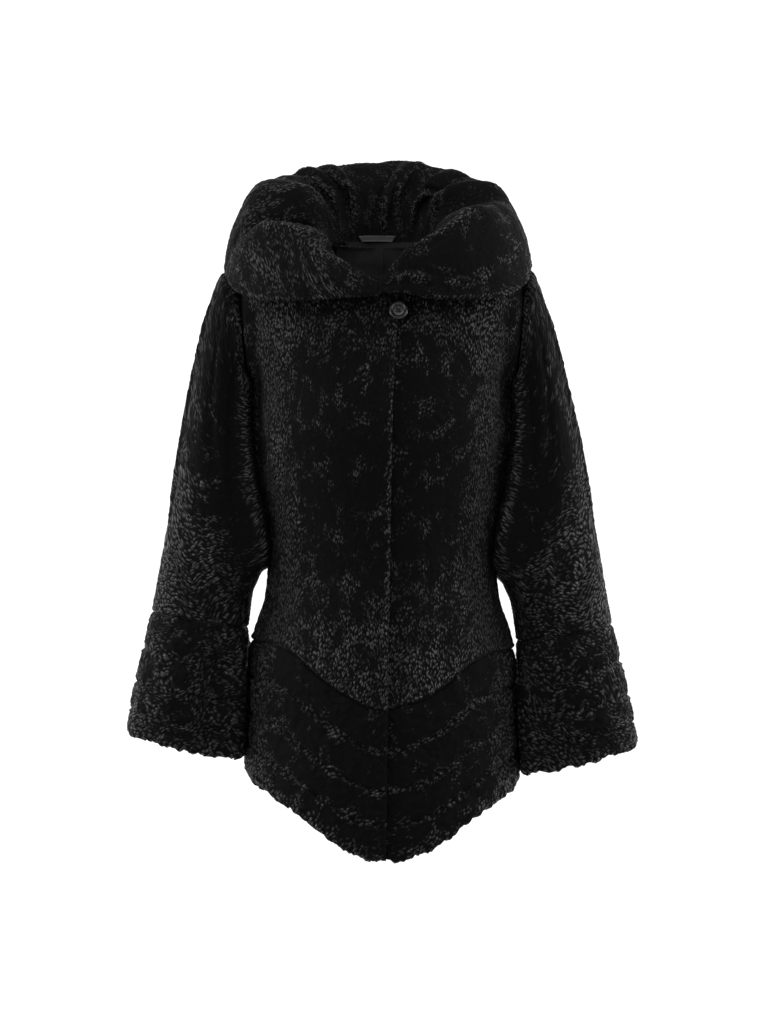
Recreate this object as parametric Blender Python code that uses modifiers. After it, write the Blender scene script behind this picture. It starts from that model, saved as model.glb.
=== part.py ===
"""A sheared lamb jacket in the shape it has when worn, with nobody inside: cloth walls round open hollows.

Metres, +Z up, +X is the wearer's left, -Y the front. The origin is the middle of the neck, level with the back
neck seam, where a wearer's shoulders hold the jacket up. The right front laps over the left one.
"""

from collections import namedtuple
from math import atan2, cos, degrees, hypot, pi, radians, sin

import bmesh
import bpy
import numpy as np
from mathutils import Matrix, Vector

SEAM_GAP = 0.0003
BODY_WALL = 0.005
SLEEVE_WALL = 0.005
BAND_WALL = 0.0055
COLLAR_WALL = 0.008
LINING_WALL = 0.0015
RIGHT, LEFT = -1, 1

# Armholes, shoulders and seams
SHOULDER_TIP_Z = -0.038
ARMPIT_Z = -0.200
NECK_POINT_Z = -0.002
ARMHOLE_DEPTH_SHARE = 0.58

# Laps at the front edge
UNDERLAP = 0.020
LAP_STEP = BAND_WALL + 0.0013
LAP_FLAT = 0.006
LAP_BLEND = 0.028

# Four fur strips with three grooves make each hem band and cuff
STRIP_ENDS = (0.0, 0.28, 0.54, 0.77, 1.0)
STRIP_ROWS = (0.0, 0.12, 0.5, 0.88)
STRIP_RISE = 0.0022
GROOVE_DEPTH = 0.0012

# Grid sizes
ARMHOLE_ROWS = 9
NECKLINE_ROWS = 5
LOWER_ROWS = 9
FRONT_COLUMNS = 12
BACK_SHOULDER_COLUMNS = 5
BACK_COLUMNS = 24
SLEEVE_COLUMNS = 2 * ARMHOLE_ROWS
COLLAR_COLUMNS = 76
COLLAR_ROWS = 13
COLUMN_EASE = 0.3

# The lining that shows inside the back of the neck
LINING_TOP_Z, LINING_BOTTOM_Z = -0.004, -0.130
LINING_HALF_WIDTH = 0.064
LINING_GAP = 0.0025
LINING_ROWS, LINING_COLUMNS = 9, 16
PLEAT_HALF_WIDTH, PLEAT_RISE = 0.012, 0.003

# Button and hanger loop
BUTTON_X, BUTTON_Z = 0.0213, -0.1035
BUTTON_SIDES = 32
HOLE_SPACING = 0.0029
HOLE_RADIUS = 0.00095
HOLE_SIDES = 12
CUTTER_DEPTH = 0.02
LOOP_WIDTH, LOOP_HEIGHT, LOOP_WALL = 0.050, 0.008, 0.0015
LOOP_X, LOOP_Z, LOOP_BOW = -0.007, 0.003, 0.0025
LOOP_GAP, LOOP_COLUMNS = 0.0009, 8

# Half of the button's section, from the middle of its face round the rim to the middle of its back
ProfilePoint = namedtuple("ProfilePoint", "radius height")
BUTTON_PROFILE = (
    ProfilePoint(0.0, 0.0022),
    ProfilePoint(0.0078, 0.0023),
    ProfilePoint(0.0088, 0.0036),
    ProfilePoint(0.0100, 0.0043),
    ProfilePoint(0.0114, 0.0041),
    ProfilePoint(0.0124, 0.0031),
    ProfilePoint(0.0125, 0.0018),
    ProfilePoint(0.0108, 0.0004),
    ProfilePoint(0.0090, 0.0),
    ProfilePoint(0.0, 0.0),
)

Section = namedtuple("Section", "z half_width front back squareness")
TORSO_SECTIONS = (
    Section(-0.002, 0.066, 0.052, 0.062, 2.0),
    Section(-0.010, 0.092, 0.058, 0.072, 2.0),
    Section(-0.020, 0.130, 0.066, 0.082, 2.1),
    Section(-0.030, 0.165, 0.075, 0.092, 2.2),
    Section(-0.038, 0.187, 0.081, 0.098, 2.3),
    Section(-0.070, 0.186, 0.095, 0.108, 2.3),
    Section(-0.100, 0.185, 0.104, 0.112, 2.3),
    Section(-0.140, 0.182, 0.113, 0.114, 2.3),
    Section(-0.200, 0.178, 0.122, 0.114, 2.35),
    Section(-0.250, 0.178, 0.126, 0.110, 2.35),
    Section(-0.320, 0.171, 0.122, 0.100, 2.3),
    Section(-0.380, 0.159, 0.117, 0.092, 2.25),
    Section(-0.440, 0.153, 0.115, 0.088, 2.2),
    Section(-0.482, 0.1575, 0.119, 0.095, 2.2),
    Section(-0.509, 0.1670, 0.122, 0.102, 2.2),
    Section(-0.535, 0.1745, 0.125, 0.108, 2.2),
    Section(-0.575, 0.1790, 0.130, 0.116, 2.25),
    Section(-0.640, 0.1810, 0.135, 0.122, 2.25),
    Section(-0.710, 0.1835, 0.140, 0.127, 2.3),
    Section(-0.820, 0.188, 0.145, 0.131, 2.3),
)

# The front neckline from the shoulder to the middle of the front, on the torso
NeckPoint = namedtuple("NeckPoint", "x z")
NECKLINE = (
    NeckPoint(0.066, -0.002),
    NeckPoint(0.068, -0.008),
    NeckPoint(0.064, -0.022),
    NeckPoint(0.050, -0.045),
    NeckPoint(0.027, -0.067),
    NeckPoint(0.0, -0.074),
)
NECK_CORNER_Z = -0.076

# Where the right front's edge lies, left of the middle
FrontEdge = namedtuple("FrontEdge", "z x")
FRONT_EDGE = (
    FrontEdge(-0.830, 0.005),
    FrontEdge(-0.480, 0.010),
    FrontEdge(-0.200, 0.015),
    FrontEdge(-0.100, 0.021),
    FrontEdge(-0.060, 0.021),
)

# The pointed seam and hem, by the angle from the front
Point = namedtuple("Point", "angle seam_z hem_z")
CHEVRON = (
    Point(0, -0.619, -0.8115),
    Point(6, -0.615, -0.809),
    Point(14, -0.606, -0.8035),
    Point(25, -0.591, -0.788),
    Point(37, -0.569, -0.765),
    Point(50, -0.544, -0.743),
    Point(61, -0.535, -0.729),
    Point(74, -0.533, -0.717),
    Point(90, -0.533, -0.705),
    Point(130, -0.533, -0.710),
    Point(180, -0.533, -0.718),
)
# The left side hangs lower than the right one
LEFT_DROP, DROP_BLEND = 0.012, 35.0

# Sleeve rings from the armhole to the cuff's hem: the outer and inner points in the XZ plane, half depths in Y,
# how much further out than its mirror image the right sleeve stands, how closely the inner side follows the
# body's side, and how far it is from it there
Ring = namedtuple("Ring", "along outer_x outer_z inner_x inner_z front back sway hug clear")
SLEEVE_RINGS = (
    Ring(0.0, 0.1870, -0.0380, 0.1780, -0.2000, 0.060, 0.062, 0.000, 0.0, 0.0022),
    Ring(1.0, 0.1980, -0.0395, 0.1797, -0.2035, 0.062, 0.064, 0.002, 1.0, 0.0022),
    Ring(2.0, 0.2085, -0.0450, 0.1812, -0.2085, 0.064, 0.066, 0.005, 1.0, 0.0022),
    Ring(2.5, 0.2160, -0.0610, 0.1818, -0.2120, 0.065, 0.067, 0.006, 1.0, 0.0022),
    Ring(3.0, 0.2235, -0.0830, 0.1822, -0.2170, 0.066, 0.068, 0.006, 1.0, 0.0022),
    Ring(4.0, 0.2385, -0.1440, 0.1828, -0.2380, 0.068, 0.070, 0.005, 1.0, 0.0022),
    Ring(5.0, 0.2510, -0.1990, 0.1822, -0.2680, 0.070, 0.071, 0.004, 1.0, 0.0022),
    Ring(6.0, 0.2665, -0.2730, 0.1765, -0.3120, 0.072, 0.072, 0.002, 1.0, 0.0022),
    Ring(7.0, 0.2790, -0.3410, 0.1675, -0.3620, 0.074, 0.072, 0.001, 1.0, 0.0022),
    Ring(8.0, 0.2905, -0.4020, 0.1580, -0.4180, 0.075, 0.072, 0.000, 0.6, 0.0030),
    Ring(9.0, 0.3000, -0.4550, 0.1735, -0.4730, 0.075, 0.072, 0.000, 0.0, 0.0050),
    Ring(10.0, 0.3075, -0.4950, 0.1800, -0.5170, 0.075, 0.072, 0.000, 0.2, 0.0060),
    Ring(11.0, 0.3215, -0.5550, 0.1840, -0.5800, 0.076, 0.073, 0.000, 1.0, 0.0060),
    Ring(12.0, 0.3340, -0.6110, 0.1860, -0.6400, 0.077, 0.074, 0.000, 1.0, 0.0060),
    Ring(13.0, 0.3410, -0.6580, 0.1885, -0.6940, 0.078, 0.075, 0.000, 1.0, 0.0060),
)
CUFF_START, CUFF_END = 10.0, 13.0
ARMHOLE_FADE = 4.0
LEFT_SLEEVE_DROP = 0.018
SLEEVE_SQUARENESS = 2.2
# How far round towards the body a sleeve begins to follow it, and how soon it does
HUG_START, HUG_BLEND = 0.45, 0.4

# The collar by the turn from the middle of the back, positive to the wearer's left: how far out and how high its
# crest is, and how high its lower edge is
CollarSection = namedtuple("CollarSection", "turn crest_reach crest_z edge_z")
COLLAR_SECTIONS = (
    CollarSection(-180, 0.123, -0.070, -0.085),
    CollarSection(-176, 0.123, -0.066, -0.086),
    CollarSection(-170, 0.122, -0.058, -0.087),
    CollarSection(-161, 0.121, -0.046, -0.088),
    CollarSection(-146, 0.127, -0.028, -0.091),
    CollarSection(-134, 0.137, -0.009, -0.092),
    CollarSection(-122, 0.152, 0.010, -0.088),
    CollarSection(-112, 0.172, 0.016, -0.078),
    CollarSection(-104, 0.178, 0.010, -0.062),
    CollarSection(-97, 0.170, 0.038, -0.044),
    CollarSection(-86, 0.163, 0.066, -0.036),
    CollarSection(-72, 0.148, 0.081, -0.038),
    CollarSection(-55, 0.140, 0.099, -0.044),
    CollarSection(-40, 0.136, 0.113, -0.050),
    CollarSection(-11, 0.122, 0.123, -0.056),
    CollarSection(11, 0.122, 0.125, -0.056),
    CollarSection(25, 0.126, 0.120, -0.053),
    CollarSection(45, 0.138, 0.108, -0.048),
    CollarSection(66, 0.145, 0.088, -0.040),
    CollarSection(84, 0.152, 0.068, -0.033),
    CollarSection(97, 0.151, 0.052, -0.041),
    CollarSection(106, 0.151, 0.042, -0.064),
    CollarSection(122, 0.143, 0.033, -0.084),
    CollarSection(133, 0.139, 0.016, -0.090),
    CollarSection(153, 0.125, -0.010, -0.090),
    CollarSection(163, 0.123, -0.022, -0.085),
    CollarSection(171, 0.122, -0.040, -0.082),
    CollarSection(177, 0.122, -0.054, -0.082),
    CollarSection(183, 0.123, -0.070, -0.084),
)
COLLAR_RIGHT_REACH, COLLAR_LEFT_REACH = 0.211, 0.200
COLLAR_FRONT_REACH, COLLAR_BACK_REACH = 0.131, 0.140
COLLAR_SQUARENESS = 2.6
COLLAR_RIGHT_END, COLLAR_LEFT_END = -177.7, 182.1
COLLAR_LIFT = 0.03
# The shares of the collar's face where its shape is given: from the seam up to the crest, then down to the edge
COLLAR_SHARES = (0, 0.25, 0.52, 0.76, 1)
RISING_REACH, RISING_HEIGHT = 0.30, 0.62
FALLING_REACH, FALLING_HEIGHT = 0.84, 0.44
COLLAR_THINNING, COLLAR_THIN_FROM = 0.003, 0.8

# Radial folds of the collar: their turn at the neck and at the crest, half width and height
CollarFold = namedtuple("CollarFold", "turn_low turn_high half_width height")
COLLAR_FOLDS = (
    CollarFold(-80, -86, 17, 0.020),
    CollarFold(-100, -106, 9, -0.016),
    CollarFold(-52, -62, 9, -0.006),
    CollarFold(-42, -50, 8, 0.010),
    CollarFold(-28, -37, 9, 0.017),
    CollarFold(4, 22, 10, 0.017),
    CollarFold(34, 50, 9, 0.014),
    CollarFold(58, 80, 12, 0.018),
    CollarFold(78, 94, 8, -0.010),
    CollarFold(-134, -126, 17, 0.008),
    CollarFold(134, 126, 17, 0.008),
)
FOLD_FADE_LOW, FOLD_PEAK, FOLD_FADE_HIGH = 0.03, 0.32, 0.70


def curve_through(keys, values):
    """A smooth curve through the values, which never swings past them."""
    keys = np.array(keys, float)
    values = np.array(values, float)
    order = np.argsort(keys)
    keys, values = keys[order], values[order]
    steps = np.diff(values) / np.diff(keys)
    level = steps[1:] * steps[:-1] <= 0
    total = np.where(level, 1, steps[1:] + steps[:-1])
    inner = np.where(level, 0, 2 * steps[1:] * steps[:-1] / total)
    slopes = np.concatenate([steps[:1], inner, steps[-1:]])

    def at(key):
        key = min(max(key, keys[0]), keys[-1])
        i = min(max(int(np.searchsorted(keys, key)) - 1, 0), len(keys) - 2)
        width = keys[i + 1] - keys[i]
        t = (key - keys[i]) / width
        ends = (1 + 2 * t) * (1 - t) ** 2 * values[i] + t * t * (3 - 2 * t) * values[i + 1]
        return ends + width * (t * (1 - t) ** 2 * slopes[i] + t * t * (t - 1) * slopes[i + 1])

    return at


def curves(rows):
    """One smooth curve for each column of a table, over the table's first column."""
    keys = [row[0] for row in rows]
    return {name: curve_through(keys, [getattr(row, name) for row in rows]) for name in rows[0]._fields[1:]}


def eased(count):
    """Shares from 0 to 1, closer together near both ends."""
    t = np.linspace(0, 1, count + 1)
    return t - COLUMN_EASE * np.sin(2 * pi * t) / (2 * pi)


def smooth_step(value):
    value = min(max(value, 0.0), 1.0)
    return value * value * (3 - 2 * value)


def signed_power(value, power):
    return abs(value) ** power * (1 if value >= 0 else -1)


TORSO = curves(TORSO_SECTIONS)
EDGE = curves(FRONT_EDGE)
POINTED = curves(CHEVRON)
SLEEVE = curves(SLEEVE_RINGS)
COLLAR = curves(COLLAR_SECTIONS)


# --- The torso's surface ---------------------------------------------------------------------------------------


def armhole_share(z):
    """How far the armhole reaches forward and back at a height, as a share of the torso's depth there."""
    half_height = (SHOULDER_TIP_Z - ARMPIT_Z) / 2
    rise = (z - SHOULDER_TIP_Z + half_height) / half_height
    return ARMHOLE_DEPTH_SHARE * max(0.0, 1 - rise * rise) ** 0.5


def torso_width(z):
    """Half the torso's width. Beside the armhole it is wide enough for the section to pass through its seam."""
    power = TORSO["squareness"](z)
    return TORSO["half_width"](z) / (1 - armhole_share(z) ** power) ** (1 / power)


def torso_point(angle, z):
    """The point on the torso at an angle in degrees from the front, positive to the wearer's left."""
    power = TORSO["squareness"](z)
    across, forward = sin(radians(angle)), cos(radians(angle))
    depth = TORSO["front"](z) if forward >= 0 else TORSO["back"](z)
    reach = ((abs(across) / torso_width(z)) ** power + (abs(forward) / depth) ** power) ** (-1 / power)
    return Vector((reach * across, -reach * forward, z))


def torso_level(point, z):
    """0 on the torso's surface, more outside it."""
    power = TORSO["squareness"](z)
    depth = TORSO["front"](z) if point.y <= 0 else TORSO["back"](z)
    return (abs(point.x) / torso_width(z)) ** power + (abs(point.y) / depth) ** power - 1


def torso_normal(point):
    step = 0.0005
    slopes = [
        torso_level(point + Vector((step, 0, 0)), point.z) - torso_level(point - Vector((step, 0, 0)), point.z),
        torso_level(point + Vector((0, step, 0)), point.z) - torso_level(point - Vector((0, step, 0)), point.z),
        torso_level(point, point.z + step) - torso_level(point, point.z - step),
    ]
    return Vector(slopes).normalized()


def depth_at(x, z, depth):
    """How far forward or back of the middle the torso is at this x, where its section has this depth."""
    power = TORSO["squareness"](z)
    return depth * max(0.0, 1 - (abs(x) / torso_width(z)) ** power) ** (1 / power)


def angle_at(x, z):
    """The angle of the torso's front point with this x."""
    return degrees(atan2(x, depth_at(x, z, TORSO["front"](z))))


def back_angle_at(x, z):
    """The angle of the torso's back point with this x."""
    return 180 - degrees(atan2(x, depth_at(x, z, TORSO["back"](z))))


def armhole_angle(z):
    """The angle from the front of the armhole's front edge."""
    return degrees(atan2(TORSO["half_width"](z), TORSO["front"](z) * armhole_share(z)))


def armhole_back_angle(z):
    """The angle from the front of the armhole's back edge."""
    return 180 - degrees(atan2(TORSO["half_width"](z), TORSO["back"](z) * armhole_share(z)))


def armhole_heights():
    """Heights down the armhole, closer together at its top and bottom."""
    middle = (SHOULDER_TIP_Z + ARMPIT_Z) / 2
    half_height = (SHOULDER_TIP_Z - ARMPIT_Z) / 2
    return [middle + half_height * cos(pi * i / ARMHOLE_ROWS) for i in range(ARMHOLE_ROWS + 1)]


def armhole_inward(point):
    """The direction of the wall's inner edge round the armhole, towards the armhole's middle."""
    return Vector((0, -point.y, (SHOULDER_TIP_Z + ARMPIT_Z) / 2 - point.z)).normalized()


# --- Cloth walls ------------------------------------------------------------------------------------------------


def make_material(name, colour, roughness, sheen=0.0):
    material = bpy.data.materials.new(name)
    material.use_nodes = True
    shader = material.node_tree.nodes["Principled BSDF"]
    shader.inputs["Base Color"].default_value = (*colour, 1)
    shader.inputs["Roughness"].default_value = roughness
    shader.inputs["Metallic"].default_value = 0
    shader.inputs["Sheen Weight"].default_value = sheen
    material.diffuse_color = (*colour, 1)
    return material


def add_object(name, mesh, material, collection):
    item = bpy.data.objects.new(name, mesh)
    mesh.materials.append(material)
    mesh.shade_smooth()
    mesh.set_sharp_from_angle(angle=radians(50))
    collection.objects.link(item)
    return item


def add_cloth(name, outer, inner, material, collection, tube=False):
    """A closed solid between an outer and an inner grid of points. The columns of a tube go all the way round."""
    rows, columns = len(outer), len(outer[0])
    cloth = bmesh.new()
    front, back = ([[cloth.verts.new(point) for point in row] for row in grid] for grid in (outer, inner))
    steps = [(j, (j + 1) % columns) for j in range(columns if tube else columns - 1)]
    for side in (front, back):
        for i in range(rows - 1):
            for j, after in steps:
                cloth.faces.new((side[i][j], side[i][after], side[i + 1][after], side[i + 1][j]))
    for i in (0, rows - 1):
        for j, after in steps:
            cloth.faces.new((front[i][j], front[i][after], back[i][after], back[i][j]))
    for j in () if tube else (0, columns - 1):
        for i in range(rows - 1):
            cloth.faces.new((front[i][j], front[i + 1][j], back[i + 1][j], back[i][j]))
    bmesh.ops.recalc_face_normals(cloth, faces=cloth.faces)
    mesh = bpy.data.meshes.new(name)
    cloth.to_mesh(mesh)
    cloth.free()
    return add_object(name, mesh, material, collection)


def spanned(left, right, top, bottom, shares):
    """A grid of (angle, z) with the given sides. The shapes of the top and bottom fade out towards the middle."""
    left, right, top, bottom = (np.array(side, float) for side in (left, right, top, bottom))
    across = np.array(shares)[None, :, None]
    down = np.linspace(0, 1, len(left))[:, None, None]
    level = left[:, None] * (1 - across) + right[:, None] * across
    return level + (1 - down) ** 2 * (top - level[0]) + down**2 * (bottom - level[-1])


def torso_wall(grid, wall, lifted=None, sunk=None):
    """Outer and inner points of cloth on the torso. lifted(row, point) raises the outer face, sunk(point) both."""
    outer, inner = [], []
    for i, row in enumerate(grid):
        outer.append([])
        inner.append([])
        for angle, z in row:
            point = torso_point(angle, z)
            normal = torso_normal(point)
            depth = sunk(point) if sunk else 0
            base = point - normal * depth
            rise = lifted(i) * (1 - depth / LAP_STEP) if lifted else 0
            outer[-1].append(base + normal * rise)
            inner[-1].append(base - normal * wall)
    return outer, inner


def shift_line(points, offset):
    for point in points:
        point += Vector(offset)


def column(grid, j):
    return [row[j] for row in grid]


# --- Fronts, back and hem bands ---------------------------------------------------------------------------------


def lap_depth(point):
    """How deep the left front lies under the right one."""
    past_edge = point.x - EDGE["x"](point.z) - LAP_FLAT
    return LAP_STEP * (1 - smooth_step(past_edge / LAP_BLEND))


def front_edge_angle(side, z):
    """The signed angle of a front's free edge: the right one ends left of the middle, the left one right of it."""
    return angle_at(EDGE["x"](z), z) if side == RIGHT else -angle_at(UNDERLAP, z)


def pointed_z(line, angle):
    """The height of the seam or the hem at an angle from -180 to 270."""
    signed = angle if angle <= 180 else angle - 360
    drop = LEFT_DROP * smooth_step(signed / DROP_BLEND) * (1 - smooth_step((signed - 90) / 90))
    return POINTED[line](abs(signed)) - drop


def front_columns(side, line):
    """(angle, z) along the seam or the hem of a front, from its free edge to its side seam."""
    start = front_edge_angle(side, POINTED[line](0))
    angles = start + (side * 90 - start) * eased(FRONT_COLUMNS)
    return [(angle, pointed_z(line, angle)) for angle in angles]


def close_armhole_edge(outer, inner, j, rows, wall):
    """Turns the wall's edge in at the armhole and parts it from the sleeve."""
    for i in range(rows):
        point = outer[i][j]
        inner[i][j] = point + armhole_inward(point) * wall
        inward = Vector((-SEAM_GAP / 2 if point.x > 0 else SEAM_GAP / 2, 0, 0))
        outer[i][j] = point + inward
        inner[i][j] += inward


def side_heights(side):
    """(angle, z) down a side seam, from below the armpit to the hem band."""
    heights = np.linspace(ARMPIT_Z, pointed_z("seam_z", side * 90), LOWER_ROWS + 1)[1:]
    return [(side * 90, z) for z in heights]


def add_front(name, side, material, collection):
    neckline = [(side * angle_at(point.x, point.z), point.z) for point in NECKLINE]
    upper = np.linspace(NECK_CORNER_Z, ARMPIT_Z, ARMHOLE_ROWS - NECKLINE_ROWS)
    seam = POINTED["seam_z"](0)
    lower = np.linspace(ARMPIT_Z, seam, LOWER_ROWS + 1)[1:]
    free_edge = [(front_edge_angle(side, z), z) for z in (*upper, *lower)]
    armhole = [(side * armhole_angle(z), z) for z in armhole_heights()]
    side_seam = side_heights(side)
    shares = eased(FRONT_COLUMNS)
    shoulder = [(side * 90, NECK_POINT_Z + (SHOULDER_TIP_Z - NECK_POINT_Z) * share) for share in shares]
    grid = spanned(neckline + free_edge, armhole + side_seam, shoulder, front_columns(side, "seam_z"), shares)
    outer, inner = torso_wall(grid, BODY_WALL, sunk=lap_depth if side == LEFT else None)
    close_armhole_edge(outer, inner, -1, ARMHOLE_ROWS + 1, BODY_WALL)
    for points in (outer, inner):
        shift_line(points[0], (0, -SEAM_GAP / 2, 0))
        shift_line(column(points, -1)[ARMHOLE_ROWS:], (0, -SEAM_GAP / 2, 0))
        shift_line(points[-1], (0, 0, SEAM_GAP / 2))
    return add_cloth(name, outer, inner, material, collection)


def add_back(material, collection):
    heights = armhole_heights()
    armhole = [(armhole_back_angle(z), z) for z in heights]
    left = armhole + side_heights(LEFT)
    right = [(360 - angle, z) for angle, z in armhole] + [(360 + angle, z) for angle, z in side_heights(RIGHT)]
    shoulder = np.linspace(SHOULDER_TIP_Z, NECK_POINT_Z, BACK_SHOULDER_COLUMNS + 1)
    neck_columns = BACK_COLUMNS - 2 * BACK_SHOULDER_COLUMNS
    neckline = [(angle, NECK_POINT_Z) for angle in np.linspace(90, 270, neck_columns + 1)[1:-1]]
    top = [(90, z) for z in shoulder] + neckline + [(270, z) for z in shoulder[::-1]]
    shares = eased(BACK_COLUMNS)
    bottom = [(angle, pointed_z("seam_z", angle)) for angle in 90 + 180 * shares]
    grid = spanned(left, right, top, bottom, shares)
    outer, inner = torso_wall(grid, BODY_WALL)
    for j in (0, -1):
        close_armhole_edge(outer, inner, j, ARMHOLE_ROWS + 1, BODY_WALL)
    for points in (outer, inner):
        shift_line(points[0][: BACK_SHOULDER_COLUMNS + 1], (0, SEAM_GAP / 2, 0))
        shift_line(points[0][-BACK_SHOULDER_COLUMNS - 1 :], (0, SEAM_GAP / 2, 0))
        shift_line(points[-1], (0, 0, SEAM_GAP / 2))
        for j in (0, -1):
            shift_line(column(points, j)[ARMHOLE_ROWS:], (0, SEAM_GAP / 2, 0))
    return add_cloth("body_back", outer, inner, material, collection)


def strip_shares():
    """Shares down a band, with rows at each groove and on the strips between."""
    shares = []
    for start, end in zip(STRIP_ENDS, STRIP_ENDS[1:]):
        shares += [start + (end - start) * row for row in STRIP_ROWS]
    return shares + [1.0]


def strip_relief(row):
    """How far a band's outer face stands out at a row of strip_shares: low at the grooves, full on the strips."""
    place = STRIP_ROWS[row % len(STRIP_ROWS)]
    at_end = row in (0, len(STRIP_ROWS) * (len(STRIP_ENDS) - 1))
    if place == 0:
        return 0.0 if at_end else -GROOVE_DEPTH
    return STRIP_RISE * (1 if place == 0.5 else 0.7)


def add_hem_band(name, ends, sunk, material, collection):
    """A band on the torso between the seam and the hem; ends are its columns' (seam, hem) pairs of (angle, z)."""
    grid = [[np.array(seam) * (1 - share) + np.array(hem) * share for seam, hem in ends] for share in strip_shares()]
    outer, inner = torso_wall(grid, BAND_WALL, lifted=strip_relief, sunk=sunk)
    for points in (outer, inner):
        shift_line(points[0], (0, 0, -SEAM_GAP / 2))
        for j in (0, -1):
            angle = ends[j][0][0]
            if abs(angle) >= 90:
                shift_line(column(points, j), (0, SEAM_GAP / 2 * (1 if name == "hem_band_back" else -1), 0))
    return add_cloth(name, outer, inner, material, collection)


def add_hem_bands(material, collection):
    for name, side in (("hem_band_right", RIGHT), ("hem_band_left", LEFT)):
        ends = list(zip(front_columns(side, "seam_z"), front_columns(side, "hem_z")))
        add_hem_band(name, ends, lap_depth if side == LEFT else None, material, collection)
    angles = 90 + 180 * eased(BACK_COLUMNS)
    hem = [(angle, pointed_z("hem_z", angle)) for angle in angles]
    seam = [(angle, pointed_z("seam_z", angle)) for angle in angles]
    add_hem_band("hem_band_back", list(zip(seam, hem)), None, material, collection)


# --- Sleeves and cuffs ------------------------------------------------------------------------------------------


def torso_side(point):
    """How far to the side the torso reaches level with a point."""
    power = TORSO["squareness"](point.z)
    depth = TORSO["front"](point.z) if point.y < 0 else TORSO["back"](point.z)
    return torso_width(point.z) * max(0.0, 1 - (abs(point.y) / depth) ** power) ** (1 / power)


def armhole_loop(around):
    """The left armhole's seam at an angle from the shoulder tip, round by the front."""
    middle = (SHOULDER_TIP_Z + ARMPIT_Z) / 2
    z = middle + (SHOULDER_TIP_Z - ARMPIT_Z) / 2 * cos(around)
    return torso_point(armhole_angle(z) if sin(around) >= 0 else armhole_back_angle(z), z)


def ring_point(side, along, around):
    """A point of the sleeve, before the armhole's shape is blended in."""
    row = {name: curve(along) for name, curve in SLEEVE.items()}
    outer = Vector((row["outer_x"], 0, row["outer_z"]))
    inner = Vector((row["inner_x"], 0, row["inner_z"]))
    outer.x += row["sway"] * (1 if side == RIGHT else -1)
    if side == LEFT:
        drop = LEFT_SLEEVE_DROP * smooth_step((along - ARMHOLE_FADE) / (CUFF_START - ARMHOLE_FADE))
        outer.z -= drop
        inner.z -= drop
    power = 2 / SLEEVE_SQUARENESS
    depth = row["front"] if sin(around) >= 0 else row["back"]
    out = (outer - inner) / 2 * signed_power(cos(around), power)
    return (outer + inner) / 2 + out - Vector((0, depth * signed_power(sin(around), power), 0))


def sleeve_point(side, along, around):
    """A point of a sleeve: along is in rings from the armhole, around an angle from the outer side by the front."""
    fade = 1 - smooth_step(along / ARMHOLE_FADE)
    point = ring_point(side, along, around)
    if fade > 0:
        point += (armhole_loop(around) - ring_point(side, 0, around)) * fade
    hold = smooth_step((-cos(around) - HUG_START) / HUG_BLEND) * SLEEVE["hug"](along)
    if hold > 0:
        point.x += (torso_side(point) + SLEEVE["clear"](along) - point.x) * hold
    return Vector((side * point.x, point.y, point.z))


def sleeve_normal(side, along, around):
    step = 0.02
    before, after = max(along - step, 0), min(along + step, CUFF_END)
    down = sleeve_point(side, after, around) - sleeve_point(side, before, around)
    round_it = sleeve_point(side, along, around + step) - sleeve_point(side, along, around - step)
    return (round_it.cross(down) * side).normalized()


def sleeve_wall(side, alongs, wall, relief=None):
    outer, inner = [], []
    for i, along in enumerate(alongs):
        outer.append([])
        inner.append([])
        for j in range(SLEEVE_COLUMNS):
            around = 2 * pi * j / SLEEVE_COLUMNS
            point = sleeve_point(side, along, around)
            normal = -armhole_inward(point) if along == 0 else sleeve_normal(side, along, around)
            outer[-1].append(point + normal * (relief(i) if relief else 0))
            inner[-1].append(point - normal * wall)
    return outer, inner


def part_at_cuff(side, grid, row, share):
    """Moves a row along the sleeve by a share of the seam's gap."""
    axis = sleeve_point(side, CUFF_START + 1, 0) - sleeve_point(side, CUFF_START, 0)
    shift_line(grid[row], axis.normalized() * SEAM_GAP * share)


def add_sleeve(name, side, material, collection):
    alongs = [0.0, 0.7, 1.4, 2.2, *np.arange(3.0, CUFF_START + 0.5, 1.0)]
    outer, inner = sleeve_wall(side, alongs, SLEEVE_WALL)
    for grid in (outer, inner):
        shift_line(grid[0], (side * SEAM_GAP / 2, 0, 0))
        part_at_cuff(side, grid, -1, -0.5)
    return add_cloth(name, outer, inner, material, collection, tube=True)


def add_cuff(name, side, material, collection):
    alongs = [CUFF_START + (CUFF_END - CUFF_START) * share for share in strip_shares()]
    outer, inner = sleeve_wall(side, alongs, BAND_WALL, relief=strip_relief)
    for grid in (outer, inner):
        part_at_cuff(side, grid, 0, 0.5)
    return add_cloth(name, outer, inner, material, collection, tube=True)


# --- The collar ---------------------------------------------------------------------------------------------------


def neck_seam():
    """Curves of the neck seam's reach from the neck's axis and its height, over the turn from the back."""
    points = [torso_point(angle, NECK_POINT_Z) for angle in range(180, 90, -15)]
    points += [torso_point(angle_at(point.x, point.z), point.z) for point in NECKLINE]
    turns = [degrees(atan2(point.x, point.y)) for point in points]
    turns[0], turns[-1] = 0, 180
    reach = curve_through(turns, [hypot(point.x, point.y) for point in points])
    return reach, curve_through(turns, [point.z for point in points])


SEAM_REACH, SEAM_HEIGHT = neck_seam()


def edge_reach(turn):
    """How far out the collar's lower edge is: an oval with its own half width on each side."""
    x, y = sin(radians(turn)), cos(radians(turn))
    side = COLLAR_LEFT_REACH if x > 0 else COLLAR_RIGHT_REACH
    depth = COLLAR_BACK_REACH if y > 0 else COLLAR_FRONT_REACH
    power = COLLAR_SQUARENESS
    return ((abs(x) / side) ** power + (abs(y) / depth) ** power) ** (-1 / power)


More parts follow.
